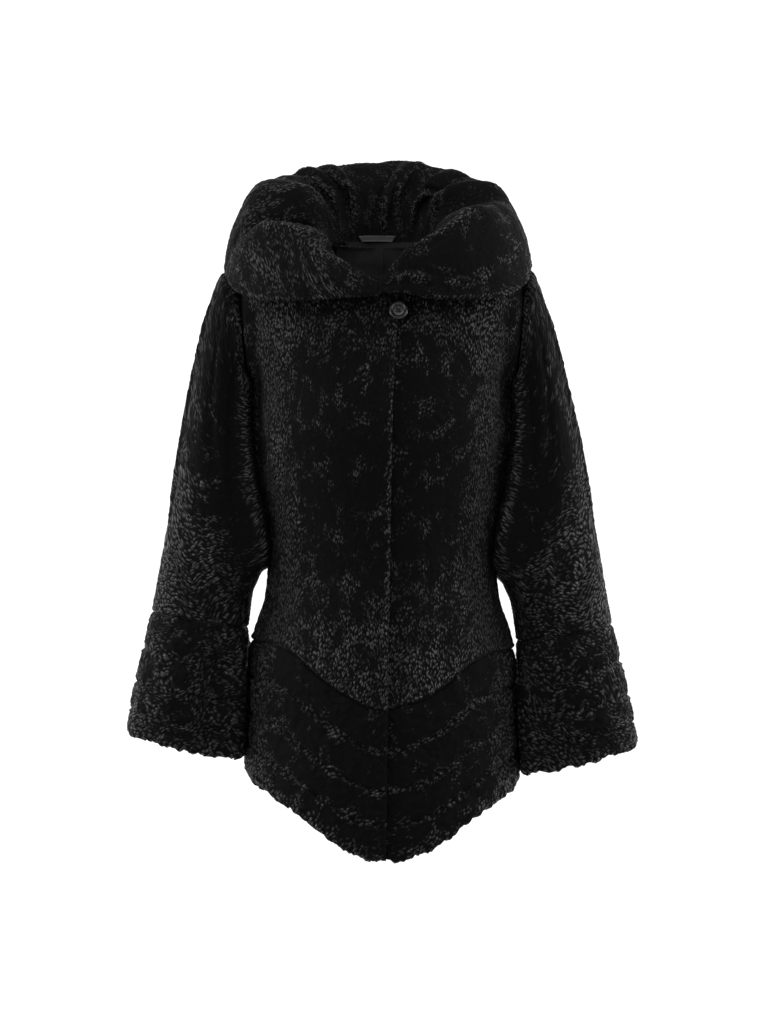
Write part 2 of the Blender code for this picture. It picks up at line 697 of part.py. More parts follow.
def collar_profile(turn):
    """Curves of the collar face's reach and height over its share from the neck seam to its lower edge."""
    bent = 360 - abs(turn) if abs(turn) > 180 else abs(turn)
    seam_reach, seam_z = SEAM_REACH(bent) + SEAM_GAP, SEAM_HEIGHT(bent) + SEAM_GAP
    crest_reach, crest_z, edge_z = (COLLAR[name](turn) for name in ("crest_reach", "crest_z", "edge_z"))
    edge = edge_reach(turn)
    reach = (
        seam_reach,
        seam_reach + RISING_REACH * (crest_reach - seam_reach),
        crest_reach,
        crest_reach + FALLING_REACH * (edge - crest_reach),
        edge,
    )
    height = (
        seam_z,
        seam_z + RISING_HEIGHT * (crest_z - seam_z),
        crest_z,
        edge_z + FALLING_HEIGHT * (crest_z - edge_z),
        edge_z,
    )
    return curve_through(COLLAR_SHARES, reach), curve_through(COLLAR_SHARES, height)


def collar_base(turn, share):
    reach, height = collar_profile(turn)
    return Vector((reach(share) * sin(radians(turn)), reach(share) * cos(radians(turn)), height(share)))


def normal_of(surface, turn, share):
    step, turn_step = 0.01, 0.5
    before, after = max(share - step, 0), min(share + step, 1)
    up = surface(turn, after) - surface(turn, before)
    round_it = surface(turn + turn_step, share) - surface(turn - turn_step, share)
    return round_it.cross(up).normalized()


def fold_rise(turn, share):
    """How far the folds raise the collar's face."""
    rise = smooth_step((share - FOLD_FADE_LOW) / (FOLD_PEAK - FOLD_FADE_LOW))
    rise *= 1 - smooth_step((share - FOLD_PEAK) / (FOLD_FADE_HIGH - FOLD_PEAK))
    climb = smooth_step(share / COLLAR_SHARES[2])
    total = 0
    for fold in COLLAR_FOLDS:
        middle = fold.turn_low + (fold.turn_high - fold.turn_low) * climb
        away = abs(turn - middle) / fold.half_width
        total += fold.height * rise * (0.5 + 0.5 * cos(pi * min(away, 1)))
    return total


def collar_face(turn, share):
    return collar_base(turn, share) + normal_of(collar_base, turn, share) * fold_rise(turn, share)


def clear_of_torso(point):
    """The point, raised where it would be inside the torso or too near its outer face."""
    point = point.copy()
    while point.z < NECK_POINT_Z and torso_level(point, point.z) < COLLAR_LIFT:
        point.z += SEAM_GAP
    return point


def collar_back(turn, share):
    """The point behind the collar's face, on its other side, which thins towards the edge."""
    wall = COLLAR_WALL - COLLAR_THINNING * smooth_step((share - COLLAR_THIN_FROM) / (1 - COLLAR_THIN_FROM))
    return clear_of_torso(collar_face(turn, share) - normal_of(collar_face, turn, share) * wall)


def add_collar(material, collection):
    turns = np.linspace(COLLAR_RIGHT_END, COLLAR_LEFT_END, COLLAR_COLUMNS + 1)
    shares = np.linspace(0, 1, COLLAR_ROWS + 1)
    outer = [[clear_of_torso(collar_face(turn, share)) for turn in turns] for share in shares]
    inner = [[collar_back(turn, share) for turn in turns] for share in shares]
    return add_cloth("collar", outer, inner, material, collection)


# --- Neck lining, hanger loop and button --------------------------------------------------------------------------


def add_neck_lining(material, collection):
    """The lining inside the upper back, with a pleat down its middle."""
    outer, inner = [], []
    for z in np.linspace(LINING_TOP_Z, LINING_BOTTOM_Z, LINING_ROWS + 1):
        outer.append([])
        inner.append([])
        for across in np.linspace(-1, 1, LINING_COLUMNS + 1):
            point = torso_point(back_angle_at(across * LINING_HALF_WIDTH, z), z)
            normal = torso_normal(point)
            depth = BODY_WALL + LINING_GAP
            rise = PLEAT_RISE * (1 - smooth_step(abs(across) * LINING_HALF_WIDTH / PLEAT_HALF_WIDTH))
            outer[-1].append(point - normal * depth)
            inner[-1].append(point - normal * (depth + LINING_WALL + rise))
    return add_cloth("neck_lining", outer, inner, material, collection)


def add_hanger_loop(material, collection):
    """A flat band sewn at its ends to the inside of the collar's stand."""
    middle = degrees(atan2(LOOP_X, SEAM_REACH(0)))
    half_turn = degrees(LOOP_WIDTH / 2 / SEAM_REACH(0))
    reach, height = collar_profile(middle)
    shares = np.interp((LOOP_Z, LOOP_Z + LOOP_HEIGHT / 2, LOOP_Z + LOOP_HEIGHT), *stand_heights(height))
    outer, inner = [], []
    for share in shares:
        outer.append([])
        inner.append([])
        for across in np.linspace(-1, 1, LOOP_COLUMNS + 1):
            turn = middle + across * half_turn
            point = collar_face(turn, share)
            normal = normal_of(collar_face, turn, share)
            stand_off = LOOP_GAP + LOOP_BOW * (1 - across * across)
            outer[-1].append(point + normal * (stand_off + LOOP_WALL))
            inner[-1].append(point + normal * stand_off)
    return add_cloth("hanger_loop", outer, inner, material, collection)


def stand_heights(height):
    """Heights up the collar's stand, and the share at each of them."""
    shares = np.linspace(0, COLLAR_SHARES[1], 20)
    return [height(share) for share in shares], shares


def add_button(material, collection, cutters):
    """A four-hole button: a raised rim round a dished middle, turned about its own Z."""
    outline = bpy.data.meshes.new("button")
    edges = [(i, i + 1) for i in range(len(BUTTON_PROFILE) - 1)]
    outline.from_pydata([(radius, 0, height) for radius, height in BUTTON_PROFILE], edges, [])
    button = add_object("button", outline, material, collection)
    turned = button.modifiers.new("turned", "SCREW")
    turned.steps = turned.render_steps = BUTTON_SIDES
    turned.use_merge_vertices = True
    turned.merge_threshold = 0.00001
    for i in range(4):
        side = radians(45 + 90 * i)
        hole = bpy.data.meshes.new(f"hole_{i}")
        cylinder = bmesh.new()
        bmesh.ops.create_cone(
            cylinder, cap_ends=True, segments=HOLE_SIDES, radius1=HOLE_RADIUS, radius2=HOLE_RADIUS, depth=CUTTER_DEPTH
        )
        cylinder.to_mesh(hole)
        cylinder.free()
        cutter = bpy.data.objects.new(f"hole_{i}", hole)
        cutter.location = (HOLE_SPACING / 2**0.5 * cos(side), HOLE_SPACING / 2**0.5 * sin(side), 0)
        cutter.parent = button
        cutter.hide_render = True
        cutter.display_type = "WIRE"
        cutters.objects.link(cutter)
        drilled = button.modifiers.new(f"hole {i}", "BOOLEAN")
        drilled.operation = "DIFFERENCE"
        drilled.object = cutter
    point = torso_point(angle_at(BUTTON_X, BUTTON_Z), BUTTON_Z)
    normal = torso_normal(point)
    turn = Vector((0, 0, 1)).rotation_difference(normal).to_matrix().to_4x4()
    button.matrix_world = Matrix.Translation(point + normal * SEAM_GAP) @ turn
    return button


def main():
    for item in list(bpy.data.objects):
        bpy.data.objects.remove(item)
    scene = bpy.context.scene
    jacket = bpy.data.collections.new("shearling_jacket")
    cutters = bpy.data.collections.new("cutters")
    cutters.hide_render = True
    scene.collection.children.link(jacket)
    scene.collection.children.link(cutters)

    body_fur = make_material("sheared lamb", (0.012, 0.012, 0.013), 0.85, 0.4)
    band_fur = make_material("sheared lamb bands", (0.011, 0.011, 0.012), 0.88, 0.4)
    collar_fur = make_material("sheared lamb collar", (0.013, 0.013, 0.014), 0.85, 0.5)
    satin = make_material("black satin", (0.02, 0.02, 0.022), 0.4)
    tape = make_material("grey tape", (0.16, 0.16, 0.17), 0.7)
    horn = make_material("polished black", (0.008, 0.008, 0.009), 0.15)

    add_front("front_right", RIGHT, body_fur, jacket)
    add_front("front_left", LEFT, body_fur, jacket)
    add_back(body_fur, jacket)
    add_hem_bands(band_fur, jacket)
    for name, side in (("right", RIGHT), ("left", LEFT)):
        add_sleeve(f"sleeve_{name}", side, body_fur, jacket)
        add_cuff(f"cuff_{name}", side, band_fur, jacket)
    add_collar(collar_fur, jacket)
    add_neck_lining(satin, jacket)
    add_hanger_loop(tape, jacket)
    add_button(horn, jacket, cutters)


main()
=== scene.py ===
"""The looks of a sheared lamb jacket, worn hollow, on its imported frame.

Metres, +Z up, +X is the wearer's left, -Y the front. Every cloth piece is a thin shell on its solid's form:
a fine outer face with the curls of the fur, and a coarse inner face of lining. The form comes from the same
named sizes as the solids'.
"""

from collections import namedtuple
from math import atan2, degrees, pi, radians

import bmesh
import bpy
import numpy as np
from mathutils import Matrix, Vector


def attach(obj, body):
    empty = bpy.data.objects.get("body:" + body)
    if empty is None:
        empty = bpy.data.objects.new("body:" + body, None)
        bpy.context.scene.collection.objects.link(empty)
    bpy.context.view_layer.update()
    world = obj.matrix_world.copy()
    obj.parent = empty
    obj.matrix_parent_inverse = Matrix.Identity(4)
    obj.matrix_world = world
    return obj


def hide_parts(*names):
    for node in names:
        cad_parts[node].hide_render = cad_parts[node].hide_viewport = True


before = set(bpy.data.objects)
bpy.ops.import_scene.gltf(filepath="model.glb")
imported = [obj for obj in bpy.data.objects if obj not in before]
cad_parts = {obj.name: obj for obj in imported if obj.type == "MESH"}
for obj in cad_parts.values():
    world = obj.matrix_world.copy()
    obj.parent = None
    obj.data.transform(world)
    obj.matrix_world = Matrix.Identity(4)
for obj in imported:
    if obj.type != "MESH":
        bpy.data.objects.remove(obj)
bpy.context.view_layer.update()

RIGHT, LEFT = -1, 1
SHOULDER_TIP_Z = -0.038
ARMPIT_Z = -0.200
NECK_POINT_Z = -0.002
ARMHOLE_DEPTH_SHARE = 0.58
ARMHOLE_MIDDLE = (SHOULDER_TIP_Z + ARMPIT_Z) / 2
ARMHOLE_HALF = (SHOULDER_TIP_Z - ARMPIT_Z) / 2
UNDERLAP = 0.020
LAP_STEP = 0.0068
LAP_FLAT = 0.006
LAP_BLEND = 0.028
STRIP_ENDS = (0.0, 0.28, 0.54, 0.77, 1.0)
COLUMN_EASE = 0.3
WALL = 0.0035
COLLAR_WALL = 0.007


def table(columns, *rows):
    row = namedtuple("Row", columns)
    return tuple(row(*values) for values in rows)


TORSO_SECTIONS = table(
    "z half_width front back squareness",
    (-0.002, 0.066, 0.052, 0.062, 2.0),
    (-0.010, 0.092, 0.058, 0.072, 2.0),
    (-0.020, 0.130, 0.066, 0.082, 2.1),
    (-0.030, 0.165, 0.075, 0.092, 2.2),
    (-0.038, 0.187, 0.081, 0.098, 2.3),
    (-0.070, 0.186, 0.095, 0.108, 2.3),
    (-0.100, 0.185, 0.104, 0.112, 2.3),
    (-0.140, 0.182, 0.113, 0.114, 2.3),
    (-0.200, 0.178, 0.122, 0.114, 2.35),
    (-0.250, 0.178, 0.126, 0.110, 2.35),
    (-0.320, 0.171, 0.122, 0.100, 2.3),
    (-0.380, 0.159, 0.117, 0.092, 2.25),
    (-0.440, 0.153, 0.115, 0.088, 2.2),
    (-0.482, 0.1575, 0.119, 0.095, 2.2),
    (-0.509, 0.1670, 0.122, 0.102, 2.2),
    (-0.535, 0.1745, 0.125, 0.108, 2.2),
    (-0.575, 0.1790, 0.130, 0.116, 2.25),
    (-0.640, 0.1810, 0.135, 0.122, 2.25),
    (-0.710, 0.1835, 0.140, 0.127, 2.3),
    (-0.820, 0.188, 0.145, 0.131, 2.3),
)
NECKLINE = table(
    "x z",
    (0.066, -0.002),
    (0.068, -0.008),
    (0.064, -0.022),
    (0.050, -0.045),
    (0.027, -0.067),
    (0.0, -0.074),
)
NECK_CORNER_Z = -0.076
FRONT_EDGE = table(
    "z x",
    (-0.830, 0.005),
    (-0.480, 0.010),
    (-0.200, 0.015),
    (-0.100, 0.021),
    (-0.060, 0.021),
)
CHEVRON = table(
    "angle seam_z hem_z",
    (0, -0.619, -0.8115),
    (6, -0.615, -0.809),
    (14, -0.606, -0.8035),
    (25, -0.591, -0.788),
    (37, -0.569, -0.765),
    (50, -0.544, -0.743),
    (61, -0.535, -0.729),
    (74, -0.533, -0.717),
    (90, -0.533, -0.705),
    (130, -0.533, -0.710),
    (180, -0.533, -0.718),
)
LEFT_DROP, DROP_BLEND = 0.012, 35.0

SLEEVE_RINGS = table(
    "along outer_x outer_z inner_x inner_z front back sway hug clear",
    (0.0, 0.1870, -0.0380, 0.1780, -0.2000, 0.060, 0.062, 0.000, 0.0, 0.0022),
    (1.0, 0.1980, -0.0395, 0.1797, -0.2035, 0.062, 0.064, 0.002, 1.0, 0.0022),
    (2.0, 0.2085, -0.0450, 0.1812, -0.2085, 0.064, 0.066, 0.005, 1.0, 0.0022),
    (2.5, 0.2160, -0.0610, 0.1818, -0.2120, 0.065, 0.067, 0.006, 1.0, 0.0022),
    (3.0, 0.2235, -0.0830, 0.1822, -0.2170, 0.066, 0.068, 0.006, 1.0, 0.0022),
    (4.0, 0.2385, -0.1440, 0.1828, -0.2380, 0.068, 0.070, 0.005, 1.0, 0.0022),
    (5.0, 0.2510, -0.1990, 0.1822, -0.2680, 0.070, 0.071, 0.004, 1.0, 0.0022),
    (6.0, 0.2665, -0.2730, 0.1765, -0.3120, 0.072, 0.072, 0.002, 1.0, 0.0022),
    (7.0, 0.2790, -0.3410, 0.1675, -0.3620, 0.074, 0.072, 0.001, 1.0, 0.0022),
    (8.0, 0.2905, -0.4020, 0.1580, -0.4180, 0.075, 0.072, 0.000, 0.6, 0.0030),
    (9.0, 0.3000, -0.4550, 0.1735, -0.4730, 0.075, 0.072, 0.000, 0.0, 0.0050),
    (10.0, 0.3075, -0.4950, 0.1800, -0.5170, 0.075, 0.072, 0.000, 0.2, 0.0060),
    (11.0, 0.3215, -0.5550, 0.1840, -0.5800, 0.076, 0.073, 0.000, 1.0, 0.0060),
    (12.0, 0.3340, -0.6110, 0.1860, -0.6400, 0.077, 0.074, 0.000, 1.0, 0.0060),
    (13.0, 0.3410, -0.6580, 0.1885, -0.6940, 0.078, 0.075, 0.000, 1.0, 0.0060),
)
CUFF_START, CUFF_END = 10.0, 13.0
ARMHOLE_FADE = 4.0
LEFT_SLEEVE_DROP = 0.018
SLEEVE_SQUARENESS = 2.2
HUG_START, HUG_BLEND = 0.45, 0.4

COLLAR_SECTIONS = table(
    "turn crest_reach crest_z edge_z",
    (-180, 0.123, -0.070, -0.085),
    (-176, 0.123, -0.066, -0.086),
    (-170, 0.122, -0.058, -0.087),
    (-161, 0.121, -0.046, -0.088),
    (-146, 0.127, -0.028, -0.091),
    (-134, 0.137, -0.009, -0.092),
    (-122, 0.152, 0.010, -0.088),
    (-112, 0.172, 0.016, -0.078),
    (-104, 0.178, 0.010, -0.062),
    (-97, 0.170, 0.038, -0.044),
    (-86, 0.163, 0.066, -0.036),
    (-72, 0.148, 0.081, -0.038),
    (-55, 0.140, 0.099, -0.044),
    (-40, 0.136, 0.113, -0.050),
    (-11, 0.122, 0.123, -0.056),
    (11, 0.122, 0.125, -0.056),
    (25, 0.126, 0.120, -0.053),
    (45, 0.138, 0.108, -0.048),
    (66, 0.145, 0.088, -0.040),
    (84, 0.152, 0.068, -0.033),
    (97, 0.151, 0.052, -0.041),
    (106, 0.151, 0.042, -0.064),
    (122, 0.143, 0.033, -0.084),
    (133, 0.139, 0.016, -0.090),
    (153, 0.125, -0.010, -0.090),
    (163, 0.123, -0.022, -0.085),
    (171, 0.122, -0.040, -0.082),
    (177, 0.122, -0.054, -0.082),
    (183, 0.123, -0.070, -0.084),
)
COLLAR_RIGHT_REACH, COLLAR_LEFT_REACH = 0.211, 0.200
COLLAR_FRONT_REACH, COLLAR_BACK_REACH = 0.131, 0.140
COLLAR_SQUARENESS = 2.6
COLLAR_RIGHT_END, COLLAR_LEFT_END = -177.7, 182.1
COLLAR_LIFT = 0.03
COLLAR_SHARES = (0, 0.25, 0.52, 0.76, 1)
RISING_REACH, RISING_HEIGHT = 0.30, 0.62
FALLING_REACH, FALLING_HEIGHT = 0.84, 0.44
SEAM_GAP = 0.0003

COLLAR_FOLDS = table(
    "turn_low turn_high half_width height",
    (-80, -86, 17, 0.020),
    (-100, -106, 9, -0.016),
    (-52, -62, 9, -0.006),
    (-42, -50, 8, 0.010),
    (-28, -37, 9, 0.017),
    (4, 22, 10, 0.017),
    (34, 50, 9, 0.014),
    (58, 80, 12, 0.018),
    (78, 94, 8, -0.010),
    (-134, -126, 17, 0.008),
    (134, 126, 17, 0.008),
)
FOLD_FADE_LOW, FOLD_PEAK, FOLD_FADE_HIGH = 0.03, 0.32, 0.70


# --- Curves and noise ---


def smooth_step(value):
    value = np.clip(value, 0.0, 1.0)
    return value * value * (3 - 2 * value)


def step_up(value, start, width):
    return smooth_step((value - start) / width)


def step_down(value, end, width):
    return smooth_step((end - value) / width)


def hump(value, middle, width):
    return np.exp(-(((value - middle) / width) ** 2))


def max_of(arrays):
    return np.maximum.reduce(list(arrays))


def slopes_of(keys, values):
    """Slopes for a curve through the values that never swings past them. values may have further axes."""
    widths = np.diff(keys).reshape((-1,) + (1,) * (values.ndim - 1))
    steps = np.diff(values, axis=0) / widths
    level = steps[1:] * steps[:-1] <= 0
    total = np.where(level, 1, steps[1:] + steps[:-1])
    inner = np.where(level, 0, 2 * steps[1:] * steps[:-1] / total)
    return np.concatenate([steps[:1], inner, steps[-1:]])


def between_values(values, slopes, i, t, width):
    """The curve at a share t of the width from the i-th key to the next."""
    ends = (1 + 2 * t) * (1 - t) ** 2 * values[i] + t * t * (3 - 2 * t) * values[i + 1]
    return ends + width * (t * (1 - t) ** 2 * slopes[i] + t * t * (t - 1) * slopes[i + 1])


def curve_through(keys, values):
    keys, values = np.array(keys, float), np.array(values, float)
    order = np.argsort(keys)
    keys, values = keys[order], values[order]
    slopes = slopes_of(keys, values)

    def at(key):
        key = np.clip(np.asarray(key, float), keys[0], keys[-1])
        i = np.clip(np.searchsorted(keys, key) - 1, 0, len(keys) - 2)
        width = keys[i + 1] - keys[i]
        return between_values(values, slopes, i, (key - keys[i]) / width, width)

    return at


def curves(rows):
    keys = [row[0] for row in rows]
    return {name: curve_through(keys, [getattr(row, name) for row in rows]) for name in rows[0]._fields[1:]}


def column_curves(keys, values, at):
    """Evaluates one curve per column: values is (keys, columns), at is (rows,), the result (rows, columns)."""
    keys, values = np.array(keys, float), np.array(values, float)
    slopes = slopes_of(keys, values)
    i = np.clip(np.searchsorted(keys, at) - 1, 0, len(keys) - 2)
    width = (keys[i + 1] - keys[i])[:, None]
    return between_values(values, slopes, i, (at - keys[i])[:, None] / width, width)


def hashed(ix, iy, seed):
    mixed = (ix * 374761393 + iy * 668265263 + seed * 1274126177) & 0xFFFFFFFF
    mixed = ((mixed ^ (mixed >> 13)) * 1274126177) & 0xFFFFFFFF
    return ((mixed ^ (mixed >> 16)) & 0xFFFF) / 65536.0


def noise(x, y, seed):
    """Smooth noise from about -1 to 1, with features one unit apart."""
    x, y = np.broadcast_arrays(np.asarray(x, float), np.asarray(y, float))
    ix, iy = np.floor(x).astype(np.int64), np.floor(y).astype(np.int64)
    fx, fy = x - ix, y - iy
    sx, sy = fx * fx * fx * (fx * (6 * fx - 15) + 10), fy * fy * fy * (fy * (6 * fy - 15) + 10)
    total = 0
    for dx in (0, 1):
        for dy in (0, 1):
            turn = 2 * pi * hashed(ix + dx, iy + dy, seed)
            lean = np.cos(turn) * (fx - dx) + np.sin(turn) * (fy - dy)
            total = total + lean * (sx if dx else 1 - sx) * (sy if dy else 1 - sy)
    return total * 1.45


TORSO = curves(TORSO_SECTIONS)
EDGE = curves(FRONT_EDGE)
POINTED = curves(CHEVRON)
SLEEVE = curves(SLEEVE_RINGS)
COLLAR = curves(COLLAR_SECTIONS)


# --- The torso's surface ---


def armhole_share(z):
    rise = (z - ARMHOLE_MIDDLE) / ARMHOLE_HALF
    return ARMHOLE_DEPTH_SHARE * np.sqrt(np.maximum(0.0, 1 - rise * rise))


def torso_width(z):
    power = TORSO["squareness"](z)
    return TORSO["half_width"](z) / (1 - armhole_share(z) ** power) ** (1 / power)


def torso_point(angle, z):
    angle, z = np.broadcast_arrays(np.asarray(angle, float), np.asarray(z, float))
    power = TORSO["squareness"](z)
    across, forward = np.sin(np.radians(angle)), np.cos(np.radians(angle))
    depth = np.where(forward >= 0, TORSO["front"](z), TORSO["back"](z))
    reach = ((np.abs(across) / torso_width(z)) ** power + (np.abs(forward) / depth) ** power) ** (-1 / power)
    return np.stack([reach * across, -reach * forward, z], axis=-1)


def torso_level(x, y, z):
    power = TORSO["squareness"](z)
    depth = np.where(y <= 0, TORSO["front"](z), TORSO["back"](z))
    return (np.abs(x) / torso_width(z)) ** power + (np.abs(y) / depth) ** power - 1


def torso_normal(points):
    x, y, z = np.moveaxis(points, -1, 0)
    step = 0.0005
    slopes = np.stack(
        [
            torso_level(x + step, y, z) - torso_level(x - step, y, z),
            torso_level(x, y + step, z) - torso_level(x, y - step, z),
            torso_level(x, y, z + step) - torso_level(x, y, z - step),
        ],
        axis=-1,
    )
    return slopes / np.linalg.norm(slopes, axis=-1, keepdims=True)


def depth_at(x, z, depth):
    power = TORSO["squareness"](z)
    return depth * np.maximum(0.0, 1 - (np.abs(x) / torso_width(z)) ** power) ** (1 / power)


def angle_at(x, z):
    return np.degrees(np.arctan2(x, depth_at(x, z, TORSO["front"](z))))


def back_angle_at(x, z):
    return 180 - np.degrees(np.arctan2(x, depth_at(x, z, TORSO["back"](z))))


def armhole_angle(z):
    return np.degrees(np.arctan2(TORSO["half_width"](z), TORSO["front"](z) * armhole_share(z)))


def armhole_back_angle(z):
    return 180 - np.degrees(np.arctan2(TORSO["half_width"](z), TORSO["back"](z) * armhole_share(z)))


def eased(t):
    return t - COLUMN_EASE * np.sin(2 * pi * t) / (2 * pi)


def pointed_z(line, angle):
    signed = np.where(angle <= 180, angle, angle - 360)
    drop = LEFT_DROP * smooth_step(signed / DROP_BLEND) * (1 - smooth_step((signed - 90) / 90))
    return POINTED[line](np.abs(signed)) - drop


def front_edge_angle(side, z):
    if side == RIGHT:
        return angle_at(EDGE["x"](z), z)
    return -angle_at(np.full_like(np.asarray(z, float), UNDERLAP), z)


def lap_depth(points):
    past_edge = points[..., 0] - EDGE["x"](points[..., 2]) - LAP_FLAT
    return LAP_STEP * (1 - smooth_step(past_edge / LAP_BLEND))


# --- Meshes ---


def grid_normals(points, tube, flip=1):
    """Unit normals of a grid of points, by central differences."""
    down = np.gradient(points, axis=0)
    if tube:
        across = (np.roll(points, -1, axis=1) - np.roll(points, 1, axis=1)) / 2
    else:
        across = np.gradient(points, axis=1)
    normal = np.cross(across, down) * flip
    return normal / np.maximum(np.linalg.norm(normal, axis=-1, keepdims=True), 1e-12)


def lengths(points, axis):
    """Distance along the rows (axis 0) or the columns (axis 1) of a grid, from its first line."""
    steps = np.linalg.norm(np.diff(points, axis=axis), axis=-1)
    zero = np.zeros_like(np.take(steps, [0], axis=axis))
    return np.cumsum(np.concatenate([zero, steps], axis=axis), axis=axis)


def roll_off(distance, radius):
    """How far a face drops near an edge that is rounded with this radius."""
    inside = np.clip(radius - distance, 0, radius)
    return radius - np.sqrt(radius * radius - inside * inside)


def add_object(name, mesh, materials):
    item = bpy.data.objects.new(name, mesh)
    for material in materials:
        mesh.materials.append(material)
    mesh.shade_smooth()
    bpy.context.scene.collection.objects.link(item)
    return item


INNER_LOOK = 0.5  # the inner face's curl and lay


def add_shell(name, outer, inner, factor, flow, curl, lay, materials, tube=False):
    """A closed shell: a fine outer grid, an inner grid that is coarser by a factor, and a strip round the
    edges. flow is (rows, columns, 2), the fur's own coordinates; curl the height of its curls at each point,
    and lay how much of the fur there stands in tufts. On the fur both also set the colour: lighter where they
    are high, a painted highlight, and darker where they are low, painted shade."""
    rows, columns = outer.shape[:2]
    inner_rows, inner_columns = inner.shape[:2]
    wrap = columns if tube else columns - 1
    inner_wrap = inner_columns if tube else inner_columns - 1
    index = np.arange(rows * columns).reshape(rows, columns)
    inner_index = rows * columns + np.arange(inner_rows * inner_columns).reshape(inner_rows, inner_columns)

    def quads(at, count):
        after = np.roll(at, -1, axis=1)[:, :count]
        here = at[:, :count]
        return np.stack([here[:-1], after[:-1], after[1:], here[1:]], axis=-1).reshape(-1, 4)

    faces = quads(index, wrap).tolist()
    for row, inner_row in ((0, 0), (rows - 1, inner_rows - 1)):
        for j in range(inner_wrap):
            fine = [int(index[row, (j * factor + k) % columns]) for k in range(factor + 1)]
            coarse = [int(inner_index[inner_row, (j + 1) % inner_columns]), int(inner_index[inner_row, j])]
            faces.append(fine + coarse)
    if not tube:
        for column, inner_column in ((0, 0), (columns - 1, inner_columns - 1)):
            for i in range(inner_rows - 1):
                fine = [int(index[i * factor + k, column]) for k in range(factor + 1)]
                coarse = [int(inner_index[i + 1, inner_column]), int(inner_index[i, inner_column])]
                faces.append(fine + coarse)
    edge_count = len(faces)
    faces += quads(inner_index, inner_wrap)[:, ::-1].tolist()
    mesh = bpy.data.meshes.new(name)
    points = np.concatenate([outer.reshape(-1, 3), inner.reshape(-1, 3)])
    mesh.from_pydata(points.tolist(), [], faces)
    slots = np.zeros(len(faces), np.int32)
    slots[edge_count:] = 1
    mesh.polygons.foreach_set("material_index", slots)
    solid = bmesh.new()
    solid.from_mesh(mesh)
    bmesh.ops.recalc_face_normals(solid, faces=solid.faces)
    solid.to_mesh(mesh)
    solid.free()
    inner_flow = flow[::factor, ::factor] if not tube else flow[::factor, ::factor][:, :inner_columns]
    all_flow = np.concatenate([flow.reshape(-1, 2), inner_flow.reshape(-1, 2)])
    corners = np.empty(len(mesh.loops), np.int32)
    mesh.loops.foreach_get("vertex_index", corners)
    mesh.uv_layers.new(name="fur_flow").uv.foreach_set("vector", all_flow[corners].astype(np.float32).ravel())
    for attribute, values in (("curl", curl), ("lay", lay)):
        values = np.concatenate([values.ravel(), np.full(inner_rows * inner_columns, INNER_LOOK)])
        mesh.attributes.new(attribute, "FLOAT", "POINT").data.foreach_set("value", values.astype(np.float32))
    return add_object(name, mesh, materials)


def fur_curls(p, q, wave, stretch, seed, tuft=0.35):
    """Height from 0 to 1 of curls that run along q and follow one another across p."""
    warp = 0.5 * noise(p / (3.2 * wave), q / (2.2 * wave * stretch), seed)
    warp = warp + 0.35 * noise(p / (1.3 * wave), q / (1.1 * wave * stretch), seed + 1)
    first = np.abs(noise(p / wave + warp, q / (wave * stretch) + 0.6 * warp, seed + 2))
    second = np.abs(noise(p / (0.62 * wave) - warp, q / (0.55 * wave * stretch), seed + 3))
    height = np.clip(first * 1.7, 0, 1) ** 0.7 * (1 - tuft) + np.clip(second * 1.7, 0, 1) ** 0.7 * tuft
    return height


CURL_MEAN = 0.52


def put_on_frame(piece, node):
    """Puts a piece on the frame in its node's place."""
    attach(piece, "root")
    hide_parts(node)


def register(piece, node):
    """Puts a piece of cloth on the frame in its node's place."""
    put_on_frame(piece, node)
    return piece


# --- Materials ---


def set_inputs(tree, node, inputs):
    """Sets a node's sockets, by name or number: each to a value, or linked from another node's output."""
    for socket, value in inputs.items():
        if isinstance(value, bpy.types.NodeSocket):
            tree.links.new(value, node.inputs[socket])
        else:
            node.inputs[socket].default_value = value


def add_node(tree, kind, inputs):
    node = tree.nodes.new(kind)
    set_inputs(tree, node, inputs)
    return node


def new_material(name, inputs):
    """A material whose shader has these inputs, with its tree and its shader."""
    material = bpy.data.materials.new(name)
    material.use_nodes = True
    tree = material.node_tree
    shader = tree.nodes["Principled BSDF"]
    set_inputs(tree, shader, inputs)
    return material, tree, shader


def math_node(tree, operation, first, second):
    node = add_node(tree, "ShaderNodeMath", {0: first, 1: second})
    node.operation = operation
    return node.outputs[0]


def mapped(tree, value, low, high, to_low, to_high):
    ends = {"From Min": low, "From Max": high, "To Min": to_low, "To Max": to_high}
    return add_node(tree, "ShaderNodeMapRange", {**ends, "Value": value}).outputs["Result"]


def fur_place(tree, size, offset):
    """The fur's own coordinates, stretched to this size in metres across and along the curls."""
    where = tree.nodes.new("ShaderNodeUVMap")
    where.uv_map = "fur_flow"
    scale, location = (1 / size[0], 1 / size[1], 1), (offset, 2 * offset, 0)
    inputs = {"Scale": scale, "Location": location, "Vector": where.outputs["UV"]}
    return add_node(tree, "ShaderNodeMapping", inputs).outputs["Vector"]


def noise_node(tree, where, scale, detail, distortion=0.0):
    inputs = {"Scale": scale, "Detail": detail, "Distortion": distortion, "Vector": where}
    return add_node(tree, "ShaderNodeTexNoise", inputs)


def point_value(tree, name):
    node = tree.nodes.new("ShaderNodeAttribute")
    node.attribute_name = name
    return node.outputs["Fac"]


def add_bump(tree, shader, height, distance, strength=1.0):
    bump = add_node(tree, "ShaderNodeBump", {"Strength": strength, "Distance": distance, "Height": height})
    set_inputs(tree, shader, {"Normal": bump.outputs["Normal"]})


def add_ramp(tree, shader, value, dark, light, places=(0.0, 1.0)):
    """Colours a shader from dark to light, as a value goes from the first place to the second."""
    ramp = add_node(tree, "ShaderNodeValToRGB", {"Fac": value})
    for end, colour, place in zip(ramp.color_ramp.elements, (dark, light), places):
        end.color, end.position = (*colour, 1), place
    set_inputs(tree, shader, {"Base Color": ramp.outputs["Color"]})
